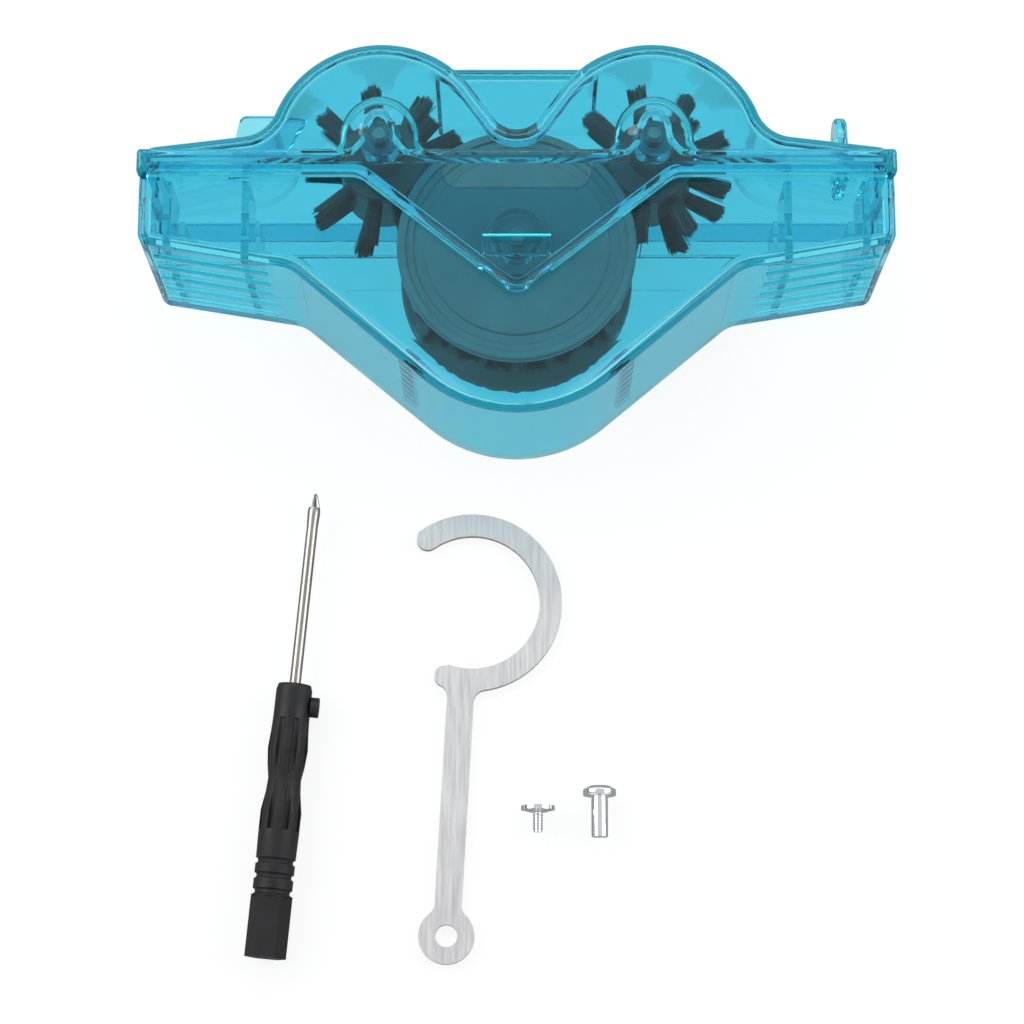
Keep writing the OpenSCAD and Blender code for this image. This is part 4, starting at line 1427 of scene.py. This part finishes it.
@dataclass
class Studio:
    """A white floor under soft light, and the photograph's camera."""

    distance: float = 0.7
    tilt: float = 13.0
    target: Triple = (-0.0011, 0.00375, 0.0)
    focal_px: float = 2885.0
    frame_px: float = 1024.0
    sensor: float = 36.0
    floor_half: float = 3.0
    floor_z: float = -0.0004
    white_share: float = 0.86
    mirrored_white: float = 0.3
    side_white: float = 0.3
    inner_share: float = 0.45
    strip_glow: float = 5.0
    black_share: float = 0.03
    lamp_aim: Triple = (0, 0.03, 0.02)
    bounces: int = 40

    def camera(self) -> None:
        """Sets the camera where the photograph's stood."""
        tilt = math.radians(self.tilt)
        data = bpy.data.cameras.new("photo_camera")
        data.sensor_width = self.sensor
        data.lens = self.sensor * self.focal_px / self.frame_px
        data.clip_start = 0.01
        cam = placed("photo_camera", data)
        cam.location = Vector(self.target) + Vector((0, -math.sin(tilt), math.cos(tilt))) * self.distance
        cam.rotation_euler = (tilt, 0, 0)
        bpy.context.scene.camera = cam

    def seen(self, graph: Graph) -> NodeSocket:
        """Returns a factor that is 1 for camera, glossy and transmission rays."""
        path = graph.add("ShaderNodeLightPath").outputs
        straight = graph.calc("MAXIMUM", path["Is Camera Ray"], path["Is Glossy Ray"])
        return graph.calc("MAXIMUM", straight, path["Is Transmission Ray"])

    def mirrored_only(self, graph: Graph) -> NodeSocket:
        """Returns a factor for reflected rays: 1 straight from the camera and less inside the clear plastic."""
        path = graph.add("ShaderNodeLightPath").outputs
        less = graph.calc("SUBTRACT", path["Is Glossy Ray"], path["Is Transmission Ray"])
        less.node.use_clamp = True
        return graph.calc("MULTIPLY", less, graph.mapped(path["Ray Depth"], (1.0, 2.0), (1.0, self.inner_share)))

    def floor(self) -> None:
        """Makes the floor, which shows nearly white and keeps a faint shadow."""
        half = self.floor_half
        mesh = bpy.data.meshes.new("floor")
        mesh.from_pydata([(-half, -half, self.floor_z), (half, -half, self.floor_z), (half, half, self.floor_z),
                          (-half, half, self.floor_z)], [], [(0, 1, 2, 3)])
        obj = placed("floor", mesh)
        mat = bpy.data.materials.new("floor_white")
        mat.use_nodes = True
        graph = Graph(mat.node_tree)
        bsdf = mat.node_tree.nodes["Principled BSDF"]
        graph.fill(bsdf, {"Base Color": (0.9, 0.9, 0.9, 1), "Roughness": 1.0, "Specular IOR Level": 0.0})
        dim = graph.mapped(self.mirrored_only(graph), (0.0, 1.0), (1.0, self.mirrored_white))
        glow = graph.add("ShaderNodeEmission", {"Color": (1, 1, 1, 1), "Strength": dim}).outputs["Emission"]
        share = graph.calc("MULTIPLY", self.seen(graph), self.white_share)
        surface = graph.blended(share, bsdf.outputs["BSDF"], glow)
        graph.fill(mat.node_tree.nodes["Material Output"], {"Surface": surface})
        mesh.materials.append(mat)

    def world(self) -> None:
        """Sets a plain world: soft light, white behind and a dimmer ceiling in reflections."""
        world = bpy.data.worlds.new("studio")
        bpy.context.scene.world = world
        world.use_nodes = True
        graph = Graph(world.node_tree)
        back = world.node_tree.nodes["Background"]
        graph.fill(back, {"Color": (0.85, 0.87, 0.9, 1), "Strength": 0.55})
        place = graph.add("ShaderNodeTexCoord").outputs["Generated"]
        split = graph.add("ShaderNodeSeparateXYZ", {"Vector": place}).outputs
        aside, up = graph.calc("ABSOLUTE", split["X"]), split["Y"]
        # A dark patch below the middle, dimmer sides, and a bright strip low on either side
        front = graph.mapped(up, (-0.42, -0.62), (0.0, 1.0), "SMOOTHSTEP")
        middle = graph.mapped(aside, (0.08, 0.24), (1.0, 0.0), "SMOOTHSTEP")
        dark = graph.calc("MULTIPLY", front, middle)
        black = graph.mapped(dark, (0.0, 1.0), (1.0, self.black_share), "SMOOTHSTEP")
        sides = graph.mapped(aside, (0.25, 0.8), (1.0, self.side_white), "SMOOTHSTEP")
        low = graph.mapped(up, (-0.3, -0.45), (0.0, 1.0), "SMOOTHSTEP")
        wide = graph.mapped(aside, (0.35, 0.5), (0.0, self.strip_glow), "SMOOTHSTEP")
        all_round = graph.calc("ADD", graph.calc("MULTIPLY", black, sides), graph.calc("MULTIPLY", low, wide))
        shade = graph.add("ShaderNodeMix", {0: self.mirrored_only(graph), 2: 1.0, 3: all_round}).outputs[0]
        shown = graph.add("ShaderNodeBackground", {"Strength": shade}).outputs["Background"]
        surface = graph.blended(self.seen(graph), back.outputs["Background"], shown)
        graph.fill(world.node_tree.nodes["World Output"], {"Surface": surface})

    def lamp(self, name: str, place: Triple, size: Point, watts: float) -> None:
        """Hangs one soft rectangular lamp that faces the object.

        Args:
            name: Its name.
            place: Where it hangs, in metres.
            size: Its sides in metres.
            watts: Its power.
        """
        data = bpy.data.lights.new(name, "AREA")
        data.shape = "RECTANGLE"
        data.size, data.size_y = size
        data.energy = watts
        obj = placed(name, data)
        obj.location = place
        obj.rotation_euler = (Vector(place) - Vector(self.lamp_aim)).to_track_quat("Z", "Y").to_euler()

    def build(self) -> None:
        """Builds the studio."""
        bpy.context.scene.view_settings.view_transform = "Standard"
        cycles = bpy.context.scene.cycles
        cycles.max_bounces = cycles.transmission_bounces = cycles.glossy_bounces = self.bounces
        cycles.transparent_max_bounces = 2 * self.bounces
        self.camera()
        self.floor()
        self.world()
        self.lamp("left_softbox", (-0.9, 0.35, 0.7), (0.7, 0.9), 9.0)
        self.lamp("right_softbox", (0.95, 0.2, 0.65), (0.5, 0.9), 7.0)
        self.lamp("top_strip", (0.0, 0.9, 0.9), (1.4, 0.4), 7.0)


def main() -> None:
    """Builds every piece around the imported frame."""
    logging.basicConfig(level=logging.INFO, format="%(message)s")
    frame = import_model()
    Studio().build()
    shop = Workshop(frame)
    shop.mount(Tank().build(), CASING, Body.CLEANER, Slot.CASING, "lower_tank", "left_baffles", "right_baffles",
               "axle_bosses")
    shop.mount(Cover().build(), CASING, Body.COVER, Slot.CASING, "upper_cover", "hanger_ear", "left_pin_bosses",
               "right_pin_bosses")
    Wheel().build(shop)
    Brush(-1, Body.LEFT_BRUSH, "left_brush").build(shop)
    Brush(1, Body.RIGHT_BRUSH, "right_brush").build(shop)
    Kit().build(shop)


if __name__ == "__main__":
    main()
